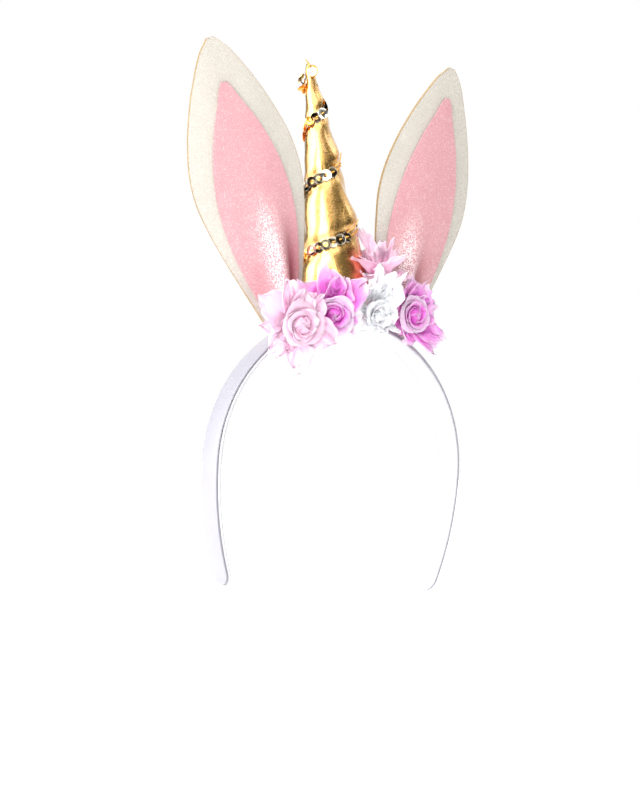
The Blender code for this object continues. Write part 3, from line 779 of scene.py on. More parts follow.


# --- The string of sequins --------------------------------------------------------------------------

# Painted reflections on the film as each disc lies on the horn: most are painted with the room's dark.
DARK_ROOM_REFLECTION = (0.045, 0.026, 0.018)
OLIVE_REFLECTION = (0.11, 0.09, 0.05)
GOLD_FILM = (0.95, 0.62, 0.18)
AMBER_REFLECTION = (0.80, 0.34, 0.05)
PALE_REFLECTION = (0.96, 0.92, 0.82)
COPPER_REFLECTION = (0.85, 0.33, 0.24)
SMOKE_REFLECTION = (0.42, 0.38, 0.28)

# Painted tone of the disc nearest each place on the string, in turns from where row three faces the camera.
DISC_TONES = table("turns film", [
    (-0.17, GOLD_FILM), (-0.115, COPPER_REFLECTION), (-0.073, DARK_ROOM_REFLECTION),
    (-0.028, OLIVE_REFLECTION), (0.011, SMOKE_REFLECTION), (0.044, OLIVE_REFLECTION),
    (0.10, DARK_ROOM_REFLECTION), (0.80, DARK_ROOM_REFLECTION), (0.90, DARK_ROOM_REFLECTION),
    (0.96, OLIVE_REFLECTION), (1.014, PALE_REFLECTION), (1.06, OLIVE_REFLECTION),
    (1.12, DARK_ROOM_REFLECTION), (1.82, AMBER_REFLECTION), (1.90, AMBER_REFLECTION),
    (1.98, DARK_ROOM_REFLECTION), (2.065, PALE_REFLECTION), (2.12, DARK_ROOM_REFLECTION),
    (2.45, GOLD_FILM), (2.97, PALE_REFLECTION), (3.3, GOLD_FILM),
])

# Where the string shows its thread alone: after row three and row two, as seen from the front. No disc is
# sewn between these turns past the row's start.
BARE_AFTER_ROWS = (0, 1)
BARE_TURNS = (0.125, 0.31)
HEIGHT_OF_ROW = (0.0405, 0.0735)

# Discs that hang loose at the tip: one flat against the front of it, and a bunch at its right.
LOOSE_DISCS = table("height toward clear faces size film", [
    (0.1225, (-0.25, -0.97, 0), 0.0004, (-0.86, -0.50, 0.06), 1.18, PALE_REFLECTION),
    (0.1190, (-0.80, 0.30, 0), 0.0014, (-0.95, 0.10, 0.45), 0.9, GOLD_FILM),
    (0.1168, (-0.85, 0.20, 0), 0.0016, (-0.55, 0.55, -0.62), 0.9, DARK_ROOM_REFLECTION),
    (0.1140, (-0.85, 0.30, 0), 0.0008, (-0.20, 0.55, 0.80), 0.9, AMBER_REFLECTION),
])
THREAD_END = [
    (0, 0, -0.002), (-0.0006, -0.0004, 0.0006), (-0.0014, -0.0008, 0.0014), (-0.0022, -0.0002, 0.0018),
]


def string_places():
    """(place, along, outward, turns) of each sequin, evenly spaced along the winding."""
    step = 0.00002

    def place(height):
        angle = winding_angle(height)
        reach = horn_radius(height) - groove_depth(height) + STRING_SEAT_GAP
        return horn_centre(height) + outward_at(angle) * reach

    places = []
    height = STRING_START_HEIGHT
    gone = SEQUIN_SPACING
    last = place(height)
    while height < HORN_HEIGHT - STRING_END_DROP:
        here = place(height)
        gone += (here - last).length
        if gone >= SEQUIN_SPACING:
            gone -= SEQUIN_SPACING
            angle = winding_angle(height)
            slope = (horn_radius(height) - horn_radius(height + step)) / step
            outward = Vector((math.cos(angle), math.sin(angle), slope)).normalized()
            along = (place(height + step) - here).normalized()
            fuller = outward_at(angle) * side_bulge(height, angle)
            places.append((here + fuller, along, outward, turns_at(height)))
        last = here
        height += step
    return places


def one_sequin():
    """A cupped disc with a hole, drawn inwards from its rim."""
    put_down()
    bpy.ops.mesh.primitive_circle_add(vertices=18, radius=SEQUIN_RADIUS, fill_type="NOTHING")
    disc = new_piece("sequin")
    pick(disc, "EDGE", lambda edge: True)
    bpy.ops.mesh.select_all(action="SELECT")
    last_reach, last_drop = 1.0, 0.0
    for reach, drop in ((0.87, 0.35), (0.45, 0.80), (SEQUIN_HOLE_RADIUS / SEQUIN_RADIUS, 1.0)):
        down = -(drop - last_drop) * SEQUIN_CUP_DEPTH
        bpy.ops.mesh.extrude_region_move(TRANSFORM_OT_translate={"value": (0, 0, down)})
        share = reach / last_reach
        bpy.ops.transform.resize(value=(share, share, 1))
        last_reach, last_drop = reach, drop
    put_down()
    face_outward(disc)
    if disc.data.polygons[0].normal.z < 0:
        disc.data.flip_normals()
    finish_by(disc, "SOLIDIFY", thickness=0.00012, offset=0.0)
    smooth_over(disc, 50)
    return disc


def sew_disc(pattern, here, axes, tone, rim_reflection, rim_reflection_share=0.4):
    """A copy of the pattern disc, turned into its place, with its painted tone, a gold centre and a
    reflection painted round its rim.
    """
    copy = copy_of(pattern)
    copy.data.transform(Matrix.Translation(here) @ axes.to_4x4())
    shade = copy.data.attributes.new("tone", "FLOAT_COLOR", "POINT")
    for item, vertex in zip(shade.data, copy.data.vertices):
        from_hole = (vertex.co - here).length / SEQUIN_RADIUS
        share = smoothstep(0.22, 0.40, from_hole)
        # A reflection is painted round the disc's rim.
        rim = rim_reflection_share * smoothstep(0.90, 0.98, from_hole)
        colour = [g * (1 - share) + t * share for g, t in zip(GOLD_FILM, tone)]
        item.color = (*[c * (1 - rim) + p * rim for c, p in zip(colour, rim_reflection)], 1.0)
    return copy


def thread_over_lip(row):
    """The thread where no disc covers it, drawn up over the fold of cloth at a row's end."""
    points = []
    for step in range(9):
        share = step / 8
        height = HEIGHT_OF_ROW[row] + 0.0010 + 0.0075 * share
        angle = math.radians(WINDING_PHASE_DEG + 360 * (row + 0.11 + 0.08 * share))
        reach = horn_radius(height) + side_bulge(height, angle)
        reach += 0.0020 * smoothstep(0.0, 0.45, share) - 0.0004
        points.append(horn_centre(height) + outward_at(angle) * reach)
    return points


def thread_curve(name, points):
    """A round thread through these points, made a mesh."""
    curve = bpy.data.curves.new(name, "CURVE")
    curve.dimensions = "3D"
    curve.bevel_depth = THREAD_RADIUS
    curve.bevel_resolution = 1
    spline = curve.splines.new("POLY")
    spline.points.add(len(points) - 1)
    for point, place in zip(spline.points, points):
        point.co = (*place, 1)
    thread = bpy.data.objects.new(name, curve)
    bpy.context.collection.objects.link(thread)
    take(thread)
    bpy.ops.object.convert(target="MESH")
    return bpy.context.object


def sew_thread(places):
    """Gold thread that comes up through each disc, goes under the next, and ends loose at the tip."""
    points = []
    for here, along, outward, _ in places:
        points.append(here - outward * SEQUIN_CUP_DEPTH)
        points.append(here + outward * 0.0001)
        points.append(here + along * SEQUIN_RADIUS * 0.34 + outward * 0.00005)
        points.append(here + along * SEQUIN_RADIUS * 0.60 - outward * 0.0006)
    threads = [thread_curve("sequin_thread", points)]
    for row in BARE_AFTER_ROWS:
        threads.append(thread_curve("thread_over_lip", thread_over_lip(row)))
    tip = horn_centre(HORN_HEIGHT)
    threads.append(thread_curve("thread_end", [tip + Vector(way) for way in THREAD_END]))
    return join_as("sequin_thread", threads)


def make_sequins():
    rng = random.Random(7)
    pattern = one_sequin()
    copies = []
    places = string_places()
    for number, (here, along, outward, turns) in enumerate(places):
        if any(row + BARE_TURNS[0] < turns < row + BARE_TURNS[1] for row in BARE_AFTER_ROWS):
            continue
        if number % 2:
            here = here + outward * SEQUIN_LIFT
        across = outward.cross(along).normalized()
        flat = across.cross(outward).normalized()
        tilt = Matrix.Rotation(math.radians(SEQUIN_TILT_DEG + rng.uniform(-7, 7)), 3, across)
        nod = Matrix.Rotation(math.radians(rng.uniform(-6, 6)), 3, flat)
        axes = nod @ tilt @ Matrix((flat, across, outward)).transposed()
        # Each disc's tone is a painted reflection of what it faces, save gold, the film's own colour.
        tone = min(DISC_TONES, key=lambda row: abs(row["turns"] - turns))["film"]
        copies.append(sew_disc(pattern, here, axes, tone, PALE_REFLECTION))
    for spot in LOOSE_DISCS:
        outward = Vector(spot["faces"]).normalized()
        flat = Vector((0, 0, 1)).cross(outward).normalized()
        axes = Matrix((flat, outward.cross(flat), outward)).transposed() * spot["size"]
        beside = Vector(spot["toward"]).normalized() * (horn_radius(spot["height"]) + spot["clear"])
        place = horn_centre(spot["height"]) + beside
        # Loose discs get a painted amber reflection round their rim.
        copies.append(sew_disc(pattern, place, axes, spot["film"], AMBER_REFLECTION, 1.0))
    bpy.data.objects.remove(pattern)
    string = join_as("sequin_winding", copies)
    settle(string, "sequin_string", [sequin_film()])
    thread = sew_thread(places)
    settle(thread, "sequin_string", [thread_gold()])


# --- The ears ---------------------------------------------------------------------------------------

# Half-widths of the felt and of its inner as shares of EAR_WIDTH / 2, and how far the pleat and the bow
# stand out there, from root to tip.
EAR_SECTIONS = table("along felt inner pleat bow", [
    (0.0, 0.26, 0.17, 1.0, 0.0), (0.05, 0.34, 0.23, 1.0, 0.0),
    (0.12, 0.46, 0.35, 0.95, 0.2), (0.20, 0.60, 0.48, 0.75, 0.5),
    (0.30, 0.765, 0.60, 0.40, 0.9), (0.40, 0.905, 0.665, 0.12, 1.0),
    (0.50, 0.99, 0.655, 0.0, 1.0), (0.60, 0.97, 0.57, 0.0, 0.9),
    (0.70, 0.85, 0.41, 0.0, 0.7), (0.79, 0.685, 0.20, 0.0, 0.45),
    (0.83, 0.60, 0.115, 0.0, 0.35), (0.85, 0.555, 0.05, 0.0, 0.3),
    (0.95, 0.28, 0.0, 0.0, 0.05), (1.0, 0.06, 0.0, 0.0, 0.0),
])
PLEAT_COLUMNS = table("across pleat", [
    (-1.0, 0.0), (-0.62, 0.22), (-0.24, 0.66), (0.0, 1.0), (0.12, 0.86),
    (0.27, 0.10), (0.38, -0.20), (0.58, 0.05), (1.0, 0.0),
])
EARS = table("name side beside_horn y sink splay_deg back_deg turn_deg inner_top crease", [
    ("right", -1, 0.0033, 0.0015, 0.0018, -22.5, -1.5, -10.0, 0.85, 0.20),
    ("left", 1, 0.0092, 0.0015, 0.0070, 11.3, -2.0, 5.5, 0.89, -0.10),
])
# EAR_SECTIONS ends the inner at this share of the ear's length. Each ear draws it out to its own
# inner_top, from here on.
INNER_TIP = 0.85
DRAWN_OUT_FROM = 0.4
# Where the fold's valley is painted with shade and its crest with bright glints, as places across the
# crease.
VALLEY_PLACE = 0.30
CREST_PLACE = -0.14


def ear_frame(ear):
    """(root, up, across, forward) of an ear that stands on the band."""
    splay = math.radians(ear["splay_deg"])
    turn = math.radians(ear["turn_deg"])
    up = Vector((math.sin(splay), math.tan(math.radians(ear["back_deg"])), math.cos(splay)))
    up.normalize()
    forward = Vector((math.sin(turn), -math.cos(turn), 0.0))
    forward -= up * forward.dot(up)
    forward.normalize()
    across = forward.cross(up)
    beside = HORN_BASE_RADIUS + ear["beside_horn"] + EAR_WIDTH / 2 * EAR_SECTIONS[0]["felt"]
    x = HORN_BASE_X + ear["side"] * beside
    root = Vector((x, ear["y"], face_height(x))) - up * ear["sink"]
    return root, up, across * (-1 if across.x < 0 else 1), forward


def ear_width(ear, layer, along):
    """The half-width of a layer of the ear at a share of its length."""
    if layer == "felt":
        share = read_smoothly(EAR_SECTIONS, "along", "felt", along)
        return EAR_WIDTH / 2 * max(share, 0.02)
    if along > DRAWN_OUT_FROM:
        squeeze = (INNER_TIP - DRAWN_OUT_FROM) / (ear["inner_top"] - DRAWN_OUT_FROM)
        along = DRAWN_OUT_FROM + (along - DRAWN_OUT_FROM) * squeeze
    share = read_smoothly(EAR_SECTIONS, "along", "inner", min(along, INNER_TIP))
    return EAR_WIDTH / 2 * max(share, 0.004)


def ear_point(ear, axes, layer, along, across_share, offset):
    """A point of a layer of the ear, ahead of the felt's front face."""
    root, up, across, forward = axes
    felt = EAR_WIDTH / 2 * read_smoothly(EAR_SECTIONS, "along", "felt", along)
    aside = across_share * ear_width(ear, layer, along)
    share = min(max(aside / felt, -1.0), 1.0)
    stand = offset - EAR_TIP_CURL * along**2
    pleat = max(read_smoothly(EAR_SECTIONS, "along", "pleat", along), 0.0)
    stand += EAR_PLEAT_DEPTH * pleat * read_smoothly(
        PLEAT_COLUMNS, "across", "pleat", share - ear["crease"]
    )
    stand += EAR_BOW * read_smoothly(EAR_SECTIONS, "along", "bow", along) * (1 - share * share)
    stand += 0.0004 * noise.noise(Vector((aside * 60, along * 7, ear["side"])))
    return root + up * (EAR_LENGTH * along) + across * aside + forward * stand


def ear_seat(ear, axes, layer, across_share):
    """The share of the ear's length at which this column meets the band's face."""
    low, high = 0.0, 0.3
    for _ in range(24):
        middle = (low + high) / 2
        point = ear_point(ear, axes, layer, middle, across_share, 0.0)
        if point.z < face_height(point.x) + SEAT_GAP:
            low = middle
        else:
            high = middle
    return high


def painted_fold_light(along, place):
    """How much painted shade in the fold's valley, and how many painted glints on its crest, a point gets.
    """
    valley_width = 0.07 if place < VALLEY_PLACE else 0.22
    valley = 1.2 * (1 - smoothstep(0.20, 0.40, along))
    crest = 1.2 * (1 - smoothstep(0.26, 0.52, along))
    return (
        valley * math.exp(-(((place - VALLEY_PLACE) / valley_width) ** 2)),
        crest * math.exp(-(((place - CREST_PLACE) / 0.22) ** 2)),
    )


def ear_layer(name, ear, layer, front, thickness, top, rows, columns, materials):
    """A sheet cut to the ear's outline, curved and pinched as it is sewn, with its own thickness.

    The second material goes on its cut edge and on a narrow trim beside it.
    """
    axes = ear_frame(ear)
    put_down()
    bpy.ops.mesh.primitive_grid_add(x_subdivisions=columns, y_subdivisions=rows, size=2)
    sheet = new_piece(name)
    for material in materials:
        sheet.data.materials.append(material)
    fold = sheet.data.attributes.new("fold", "FLOAT", "POINT")
    crest = sheet.data.attributes.new("crest", "FLOAT", "POINT")
    border = 1 - 1.5 / columns
    for face in sheet.data.polygons:
        face.material_index = int(abs(face.center.x) > border)
    seats = {}
    for vertex in sheet.data.vertices:
        share = vertex.co.x
        key = round(share, 4)
        if key not in seats:
            seats[key] = ear_seat(ear, axes, layer, share)
        along = seats[key] + (top - seats[key]) * (vertex.co.y + 1) / 2
        if 1 - 2.5 / columns < abs(share) < 0.999:
            share = math.copysign(1 - EAR_TRIM_WIDTH / ear_width(ear, layer, along), share)
        vertex.co = ear_point(ear, axes, layer, along, share, front)
        # The fold's painted shade and the painted glints on its crest, for the felt's colour.
        place = share * EAR_FOLD_REACH[layer] - ear["crease"]
        fold.data[vertex.index].value, crest.data[vertex.index].value = painted_fold_light(along, place)
    if sheet.data.polygons[0].normal.dot(axes[3]) < 0:
        sheet.data.flip_normals()
    finish_by(
        sheet, "SOLIDIFY", thickness=thickness, offset=-1.0, use_even_offset=False, material_offset_rim=1
    )
    smooth_over(sheet, 50)
    return sheet


def make_ears():
    felt_cloth = glitter_felt(
        "silver glitter felt", dull=(0.335, 0.31, 0.27), bright=(0.505, 0.475, 0.42),
        spark=(0.80, 0.79, 0.76), flake_size=0.00042, lean=0.35, metallic=0.3,
    )
    edge_cloth = glitter_felt(
        "gold glitter edge", dull=(0.20, 0.125, 0.05), bright=(0.42, 0.30, 0.15),
        spark=(0.80, 0.66, 0.42), flake_size=0.00040, lean=0.5, metallic=0.5,
    )
    pink_cloth = glitter_felt(
        "pink glitter felt", dull=(0.42, 0.18, 0.20), bright=(0.54, 0.29, 0.31),
        spark=(0.88, 0.80, 0.79), flake_size=0.00042, lean=0.35, metallic=0.3,
    )
    for ear in EARS:
        felt = ear_layer(
            f"felt_ear_{ear['name']}", ear, "felt", 0.0, EAR_THICKNESS, 1.0,
            rows=120, columns=44, materials=[felt_cloth, edge_cloth],
        )
        settle(felt, f"ear_{ear['name']}", [])
        inner = ear_layer(
            f"pink_ear_{ear['name']}", ear, "inner", LAYER_GAP + EAR_INNER_THICKNESS, EAR_INNER_THICKNESS,
            ear["inner_top"], rows=100, columns=32, materials=[pink_cloth, pink_cloth],
        )
        settle(inner, f"ear_{ear['name']}_inner", [])


# --- The roses --------------------------------------------------------------------------------------

# Each rose: the middle of its back as its X, how far ahead of the band's front edge and how far over the
# band's face, and the way it faces. Its bud has a way of its own, a shift from there, a radius and a turn.
# Its star is the outer petals: turn, length, half-width, slope from the rose's axis at foot and tip, and
# how blunt the tip is where it isn't pointed.
STAR_COLUMNS = ("turn_deg", "length", "half_width", "start_deg", "end_deg", "blunt")
ROSES = [
    {"name": "rose_pink_right", "slot": "rose_pink", "x": -0.0423, "ahead": 0.0107, "over": 0.0068,
     "faces": (-0.25, -0.95, -0.12), "bud_faces": (-0.16, -0.98, -0.10), "bud_shift": (0.0, 0.0, 0.0),
     "bud_radius": 0.0108, "bud_turn_deg": 200,
     "star": [(150, 0.0250, 0.0100, 50, 100), (114, 0.0250, 0.0060, 45, 85),
              (228, 0.0195, 0.0100, 50, 105), (274, 0.0230, 0.0095, 50, 105),
              (341, 0.0215, 0.0090, 50, 95), (58, 0.0195, 0.0090, 45, 80), (92, 0.0190, 0.0080, 40, 70),
              (186, 0.0185, 0.0090, 48, 100)]},
    {"name": "rose_lilac_right", "slot": "rose_lilac", "x": -0.0211, "ahead": 0.0124, "over": 0.0070,
     "faces": (-0.40, -0.88, -0.15), "bud_faces": (-0.45, -0.78, -0.35), "bud_shift": (0.0, 0.0, -0.002),
     "bud_radius": 0.0098, "bud_turn_deg": 30,
     "star": [(149, 0.0215, 0.0085, 50, 90), (109, 0.0228, 0.0085, 45, 80),
              (44, 0.0187, 0.0100, 50, 90), (307, 0.0147, 0.0080, 45, 80),
              (234, 0.0140, 0.0080, 45, 80), (80, 0.0170, 0.0080, 40, 72), (190, 0.0150, 0.0080, 45, 80)]},
    {"name": "rose_pink_top", "slot": "rose_pink", "x": 0.0143, "ahead": 0.0013, "over": 0.0194,
     "faces": (-0.32, -0.16, 0.92), "bud_faces": (-0.10, -0.30, 0.92), "bud_shift": (0.0, 0.0, 0.001),
     "bud_radius": 0.0062, "bud_turn_deg": 0,
     "star": [(152, 0.0290, 0.0060, 5, 30), (172, 0.0195, 0.0085, 30, 80, 0.1),
              (334, 0.0262, 0.0095, 8, 30, 0.6), (338, 0.0240, 0.0095, 25, 65, 0.3),
              (28, 0.0150, 0.0085, 50, 95, 0.1), (302, 0.0225, 0.0100, 6, 26, 0.5),
              (240, 0.0205, 0.0100, 14, 50, 0.3), (70, 0.0190, 0.0100, 16, 52, 0.3),
              (200, 0.0215, 0.0090, 10, 40, 0.2), (270, 0.0170, 0.0095, 30, 75, 0.2)]},
    {"name": "rose_white", "slot": "rose_white", "x": 0.0033, "ahead": 0.0109, "over": 0.0041,
     "faces": (-0.05, -1.0, 0.10), "bud_faces": (0.05, -0.95, -0.10), "bud_shift": (0.0, 0.0, -0.002),
     "bud_radius": 0.0078, "bud_turn_deg": 120, "crumple": 2.0,
     "star": [(150, 0.0160, 0.0085, 45, 80), (95, 0.0180, 0.0080, 45, 80), (58, 0.0215, 0.0090, 40, 70),
              (24, 0.0130, 0.0080, 45, 80), (321, 0.0137, 0.0080, 45, 80),
              (271, 0.0118, 0.0085, 45, 80), (214, 0.0185, 0.0085, 45, 80)]},
    {"name": "rose_lilac_left", "slot": "rose_lilac", "x": 0.0287, "ahead": 0.0040, "over": 0.0084,
     "faces": (0.20, -1.0, 0.05), "bud_faces": (0.12, -1.0, 0.02), "bud_shift": (0.0, 0.0, 0.001),
     "bud_radius": 0.0098, "bud_turn_deg": 70,
     "star": [(94, 0.0200, 0.0085, 50, 85), (64, 0.0200, 0.0085, 50, 80), (19, 0.0175, 0.0090, 50, 75),
              (335, 0.0225, 0.0085, 50, 85), (316, 0.0255, 0.0075, 50, 95),
              (274, 0.0135, 0.0080, 50, 95), (123, 0.0150, 0.0080, 50, 100),
              (215, 0.0110, 0.0080, 50, 95)]},
]

POINTED_OUTLINE = table("along width", [
    (0.0, 0.28), (0.2, 0.66), (0.45, 0.98), (0.68, 0.86), (0.88, 0.40), (1.0, 0.04),
])
ROUND_OUTLINE = table("along width", [
    (0.0, 0.35), (0.25, 0.75), (0.55, 1.0), (0.80, 0.96), (0.94, 0.74), (1.0, 0.50),
])

# Rings of the bud's round petals from the outside in, as shares of its radius. lap is how far one side of
# a petal lies behind its neighbour, and roll is how far its rim curls outward.
BUD_RINGS = table("petals length half_width base start_deg end_deg rise lap roll_deg turn_deg outward", [
    (3, 1.22, 1.25, 0.16, 30, 56, 0.10, 0.09, 85, 0.0, 0.80),
    (3, 1.00, 0.92, 0.20, 20, 28, 0.14, 0.10, 45, 50.0, 0.55),
    (2, 0.90, 0.86, 0.26, 13, 16, 0.14, 0.10, 20, 95.0, 0.36),
    (3, 0.88, 0.95, 0.36, 22, -78, 0.42, 0.09, 0, 20.0, 0.50),
])
PETAL_THICKNESS = 0.0003
PETAL_ROWS = 22
PETAL_COLUMNS = 18
PETAL_STEPS = 32

# The cloth of each slot, with its colours at the heart, halfway out and at the cut edge.
PETAL_CLOTHS = {
    "rose_pink": ("pink petal cloth", (0.96, 0.36, 0.59), (0.84, 0.46, 0.65), (0.70, 0.45, 0.57)),
    "rose_lilac": ("lilac petal cloth", (0.75, 0.004, 0.52), (0.72, 0.13, 0.56), (0.71, 0.48, 0.67)),
    "rose_white": ("white petal cloth", (0.79, 0.76, 0.82), (0.86, 0.83, 0.89), (0.89, 0.86, 0.91)),
}


def facing_axes(faces, turn_deg=0.0):
    """(facing, first side, second side) of a bloom that faces this way."""
    facing = Vector(faces).normalized()
    first = Vector((0.0, 0.0, 1.0)).cross(facing)
    if first.length < 0.3:
        first = Vector((1.0, 0.0, 0.0))
    first = (first - facing * first.dot(facing)).normalized()
    first = Matrix.Rotation(math.radians(turn_deg), 3, facing) @ first
    return facing, first, facing.cross(first)


def flat_petal():
    """A square of cloth, cut to a petal later."""
    put_down()
    bpy.ops.mesh.primitive_grid_add(x_subdivisions=PETAL_COLUMNS, y_subdivisions=PETAL_ROWS, size=2)
    return new_piece("petal")


def petal_line(cut):
    """(reach from the axis, rise) at even steps along a petal's middle, rolled out at its rim."""
    line = [(cut["base"], cut["rise"])]
    step = cut["length"] / PETAL_STEPS
    for k in range(PETAL_STEPS):
        share = (k + 0.5) / PETAL_STEPS
        slope = cut["start_deg"] + (cut["end_deg"] - cut["start_deg"]) * share
        slope = math.radians(slope + cut["roll_deg"] * smoothstep(0.72, 1.0, share))
        reach, rise = line[-1]
        line.append((reach + math.sin(slope) * step, rise + math.cos(slope) * step))
    return line


def curl_petal(pattern, back, axes, cut, rng):
    """Cuts a copy of the cloth to a petal's outline and curls it out from the bloom's axis."""
    petal = copy_of(pattern)
    facing, first, second = axes
    spin = math.radians(cut["turn_deg"])
    seed = rng.uniform(0, 50)
    ripple_size = cut["ripple"]
    outward = petal.data.attributes.new("outward", "FLOAT", "POINT")
    line = petal_line(cut)

    def rough(first_way, second_way, shift=0):
        return noise.noise(Vector((first_way, second_way, seed + shift)))

    for vertex in petal.data.vertices:
        across, along = vertex.co.x, (vertex.co.y + 1) / 2
        k = min(int(along * PETAL_STEPS), PETAL_STEPS - 1)
        part = along * PETAL_STEPS - k
        reach = line[k][0] * (1 - part) + line[k + 1][0] * part
        rise = line[k][1] * (1 - part) + line[k + 1][1] * part
        wide = read_smoothly(POINTED_OUTLINE, "along", "width", along) * (1 - cut["blunt"])
        wide += read_smoothly(ROUND_OUTLINE, "along", "width", along) * cut["blunt"]
        nick = 1 + 0.16 * rough(along * 7, math.copysign(3.0, across), 40)
        aside = across * wide * nick * cut["half_width"]
        spot = across * (0.25 + 0.75 * wide)
        ripple = rough(spot * 1.6, along * 2.2)
        crumple = rough(spot * 4.6, along * 6.0, 9)
        bend = aside / max(reach, cut["wrap"])
        reach += cut["lap"] * across + along * (1.0 * ripple + 0.5 * crumple) * ripple_size
        lift = rise + cut["cup"] * (across * wide) ** 2
        lift += along**2 * (0.9 * ripple + 0.5 * crumple) * ripple_size
        lift -= cut["fold"] * smoothstep(0.0, 1.0, 1 - abs(across)) * smoothstep(0.3, 1.0, along)
        crease = abs(rough(spot * 2.4, along * 2.6, 30))
        lift -= smoothstep(0.1, 0.5, along) * crease * 1.1 * ripple_size
        rim = max(abs(across), along) ** 4
        frill = rough(spot * 9, along * 10, 20)
        lift += 0.0007 * min(1.0, 0.2 + wide) * rim * frill
        out = first * math.cos(spin + bend) + second * math.sin(spin + bend)
        vertex.co = back + out * reach + facing * lift
        outward.data[vertex.index].value = cut["outward"] * (0.35 + 0.65 * along) + 0.3 * rim
    if petal.data.polygons[0].normal.dot(facing) < 0:
        petal.data.flip_normals()
    return petal


def make_rose(rose, cloth):
    rng = random.Random(rose["name"])
    crumple = rose.get("crumple", 1.0)
    pattern = flat_petal()
    x = rose["x"]
    back = Vector((x, -BAND_WIDTH / 2 - rose["ahead"], face_height(x) + rose["over"]))
    petals = []
    axes = facing_axes(rose["faces"])
    for row in rose["star"]:
        cut = {"blunt": 0.0, **dict(zip(STAR_COLUMNS, row))}
        cut.update(
            base=0.002, rise=0.0, lap=0.0006, roll_deg=rng.uniform(-10, 20), wrap=0.009, cup=0.0016,
            fold=rng.uniform(0.0004, 0.0020), ripple=0.0038 * crumple, outward=0.70,
        )
        petals.append(curl_petal(pattern, back, axes, cut, rng))
    axes = facing_axes(rose["bud_faces"], rose["bud_turn_deg"])
    radius = rose["bud_radius"]
    for ring in BUD_RINGS:
        for number in range(ring["petals"]):
            cut = {key: ring[key] * radius for key in ("length", "half_width", "base", "rise", "lap")}
            cut.update({key: ring[key] for key in ("start_deg", "end_deg", "roll_deg", "outward")})
            cut.update(
                turn_deg=ring["turn_deg"] + 360 * number / ring["petals"] + rng.uniform(-8, 8),
                blunt=1.0, wrap=0.55 * radius, cup=0.0, fold=0.0, ripple=0.10 * radius * crumple,
            )
            cut["length"] *= rng.uniform(0.94, 1.06)
            place = back + Vector(rose["bud_shift"])
            petals.append(curl_petal(pattern, place, axes, cut, rng))
    bpy.data.objects.remove(pattern)
    bloom = join_as(f"silk_{rose['name']}", petals)
    finish_by(bloom, "SOLIDIFY", thickness=PETAL_THICKNESS, offset=0.0)
    smooth_over(bloom, 60)
    settle(bloom, rose["name"], [cloth])


def make_roses():
    cloths = {slot: petal_cloth(*look) for slot, look in PETAL_CLOTHS.items()}
    for rose in ROSES:
        make_rose(rose, cloths[rose["slot"]])


# --- Camera, floor and light ------------------------------------------------------------------------


def set_camera():
    """The camera as it was fitted to the band's arch in the photograph."""
    place = Vector((-0.762079, -1.052111, -0.061685))
    right = Vector((0.81160, -0.58034, 0.06713))
    up = Vector((-0.06467, 0.02496, 0.99759))
    back = Vector((-0.58062, -0.81399, -0.01728))
    lens = bpy.data.cameras.new("camera")
    lens.lens = 117
    lens.sensor_width = 36
    camera = bpy.data.objects.new("camera", lens)
    turn = Matrix((right, up, back)).transposed().to_4x4()
    camera.matrix_world = Matrix.Translation(place) @ turn
    bpy.context.collection.objects.link(camera)
    bpy.context.scene.camera = camera


def set_floor():
    put_down()
    under = (0, 0, cad_box[0].z)
    bpy.ops.mesh.primitive_circle_add(vertices=96, radius=6.0, fill_type="NGON", location=under)
    floor = new_piece("floor")
    bpy.ops.object.transform_apply(location=True)
    material, tree, skin = new_material("pale floor")
    feed(tree, skin, {
        "Base Color": (0.86, 0.86, 0.87, 1),
        "Roughness": 0.9,
        "Emission Color": (1, 1, 1, 1),
        "Emission Strength": 0.62,
    })
    floor.data.materials.append(material)


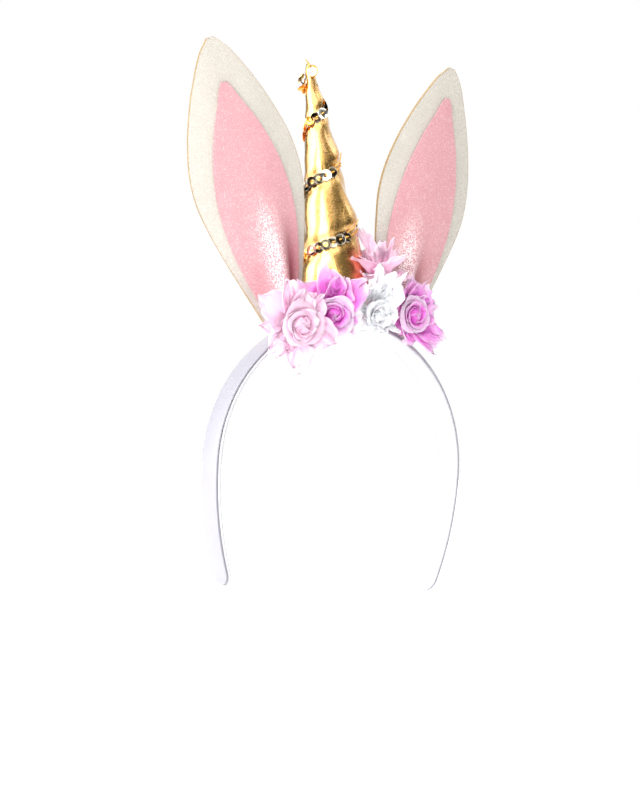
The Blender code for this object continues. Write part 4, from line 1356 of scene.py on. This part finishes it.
# The room round the object: its even strength, and patches of it as direction, how much flatter than wide,
# the dots between which the patch fades in, and the change there. A wide white screen stands at the left,
# the front is darker, the paper behind the object is bright, and there is a dark gap between screen and
# paper.
ROOM_STRENGTH = 0.45
ROOM_PATCHES = [
    ((-0.997, -0.044, 0.20), 2.2, 0.57, 0.69, 4.8),
    ((-0.997, -0.044, 0.12), 1.0, 0.78, 0.92, 2.6),
    ((0.08, -0.99, 0.05), 0.35, 0.66, 0.84, -0.42),
    ((0.58, 0.81, 0.0), 1.0, 0.10, 0.60, 0.65),
    ((-0.42, 0.90, 0.1), 0.7, 0.72, 0.92, -0.88),
]

# Each lamp's name, place, size and power.
LAMPS = [
    ("softbox at the left", (-1.10, -0.75, 0.55), 0.9, 3.0),
    ("softbox overhead", (-0.3, -0.75, 1.15), 1.0, 9.0),
    ("softbox high at the right", (0.85, -0.35, 1.25), 0.9, 6.0),
    ("softbox by the camera", (-1.00, -1.05, 0.25), 0.8, 4.0),
]


def set_light():
    world = bpy.data.worlds.new("studio")
    world.use_nodes = True
    bpy.context.scene.world = world
    tree = world.node_tree
    tree.nodes.clear()
    way = add_node(tree, "ShaderNodeTexCoord").outputs["Generated"]
    strength = ROOM_STRENGTH
    for toward, flatter, low, high, change in ROOM_PATCHES:
        squeezed = vector_calc(tree, "MULTIPLY", way, (1.0, 1.0, flatter))
        even = vector_calc(tree, "NORMALIZE", squeezed)
        toward = Vector(toward).normalized()
        facing = add_node(tree, "ShaderNodeVectorMath", even, toward, operation="DOT_PRODUCT")
        patch = remap(tree, facing.outputs["Value"], low, high, 0.0, change, "SMOOTHSTEP")
        strength = calc(tree, "ADD", strength, patch)
    room = add_node(tree, "ShaderNodeBackground", (1, 1, 1, 1), strength)
    paper = add_node(tree, "ShaderNodeBackground", (1, 1, 1, 1), 1.0)
    seen = add_node(tree, "ShaderNodeLightPath").outputs["Is Camera Ray"]
    mix = add_node(tree, "ShaderNodeMixShader", seen, room.outputs[0], paper.outputs[0])
    add_node(tree, "ShaderNodeOutputWorld", mix.outputs[0])
    aim = Vector((0, 0, 0.02))
    for name, place, size, power in LAMPS:
        lamp = bpy.data.lights.new(name, "AREA")
        lamp.shape = "SQUARE"
        lamp.size = size
        lamp.energy = power
        obj = bpy.data.objects.new(name, lamp)
        obj.location = place
        obj.rotation_euler = (aim - Vector(place)).to_track_quat("-Z", "Y").to_euler()
        bpy.context.collection.objects.link(obj)
    bpy.context.scene.view_settings.view_transform = "Standard"


put_down()
set_camera()
set_floor()
make_band()
make_horn()
make_sequins()
make_ears()
make_roses()
set_light()
put_down()
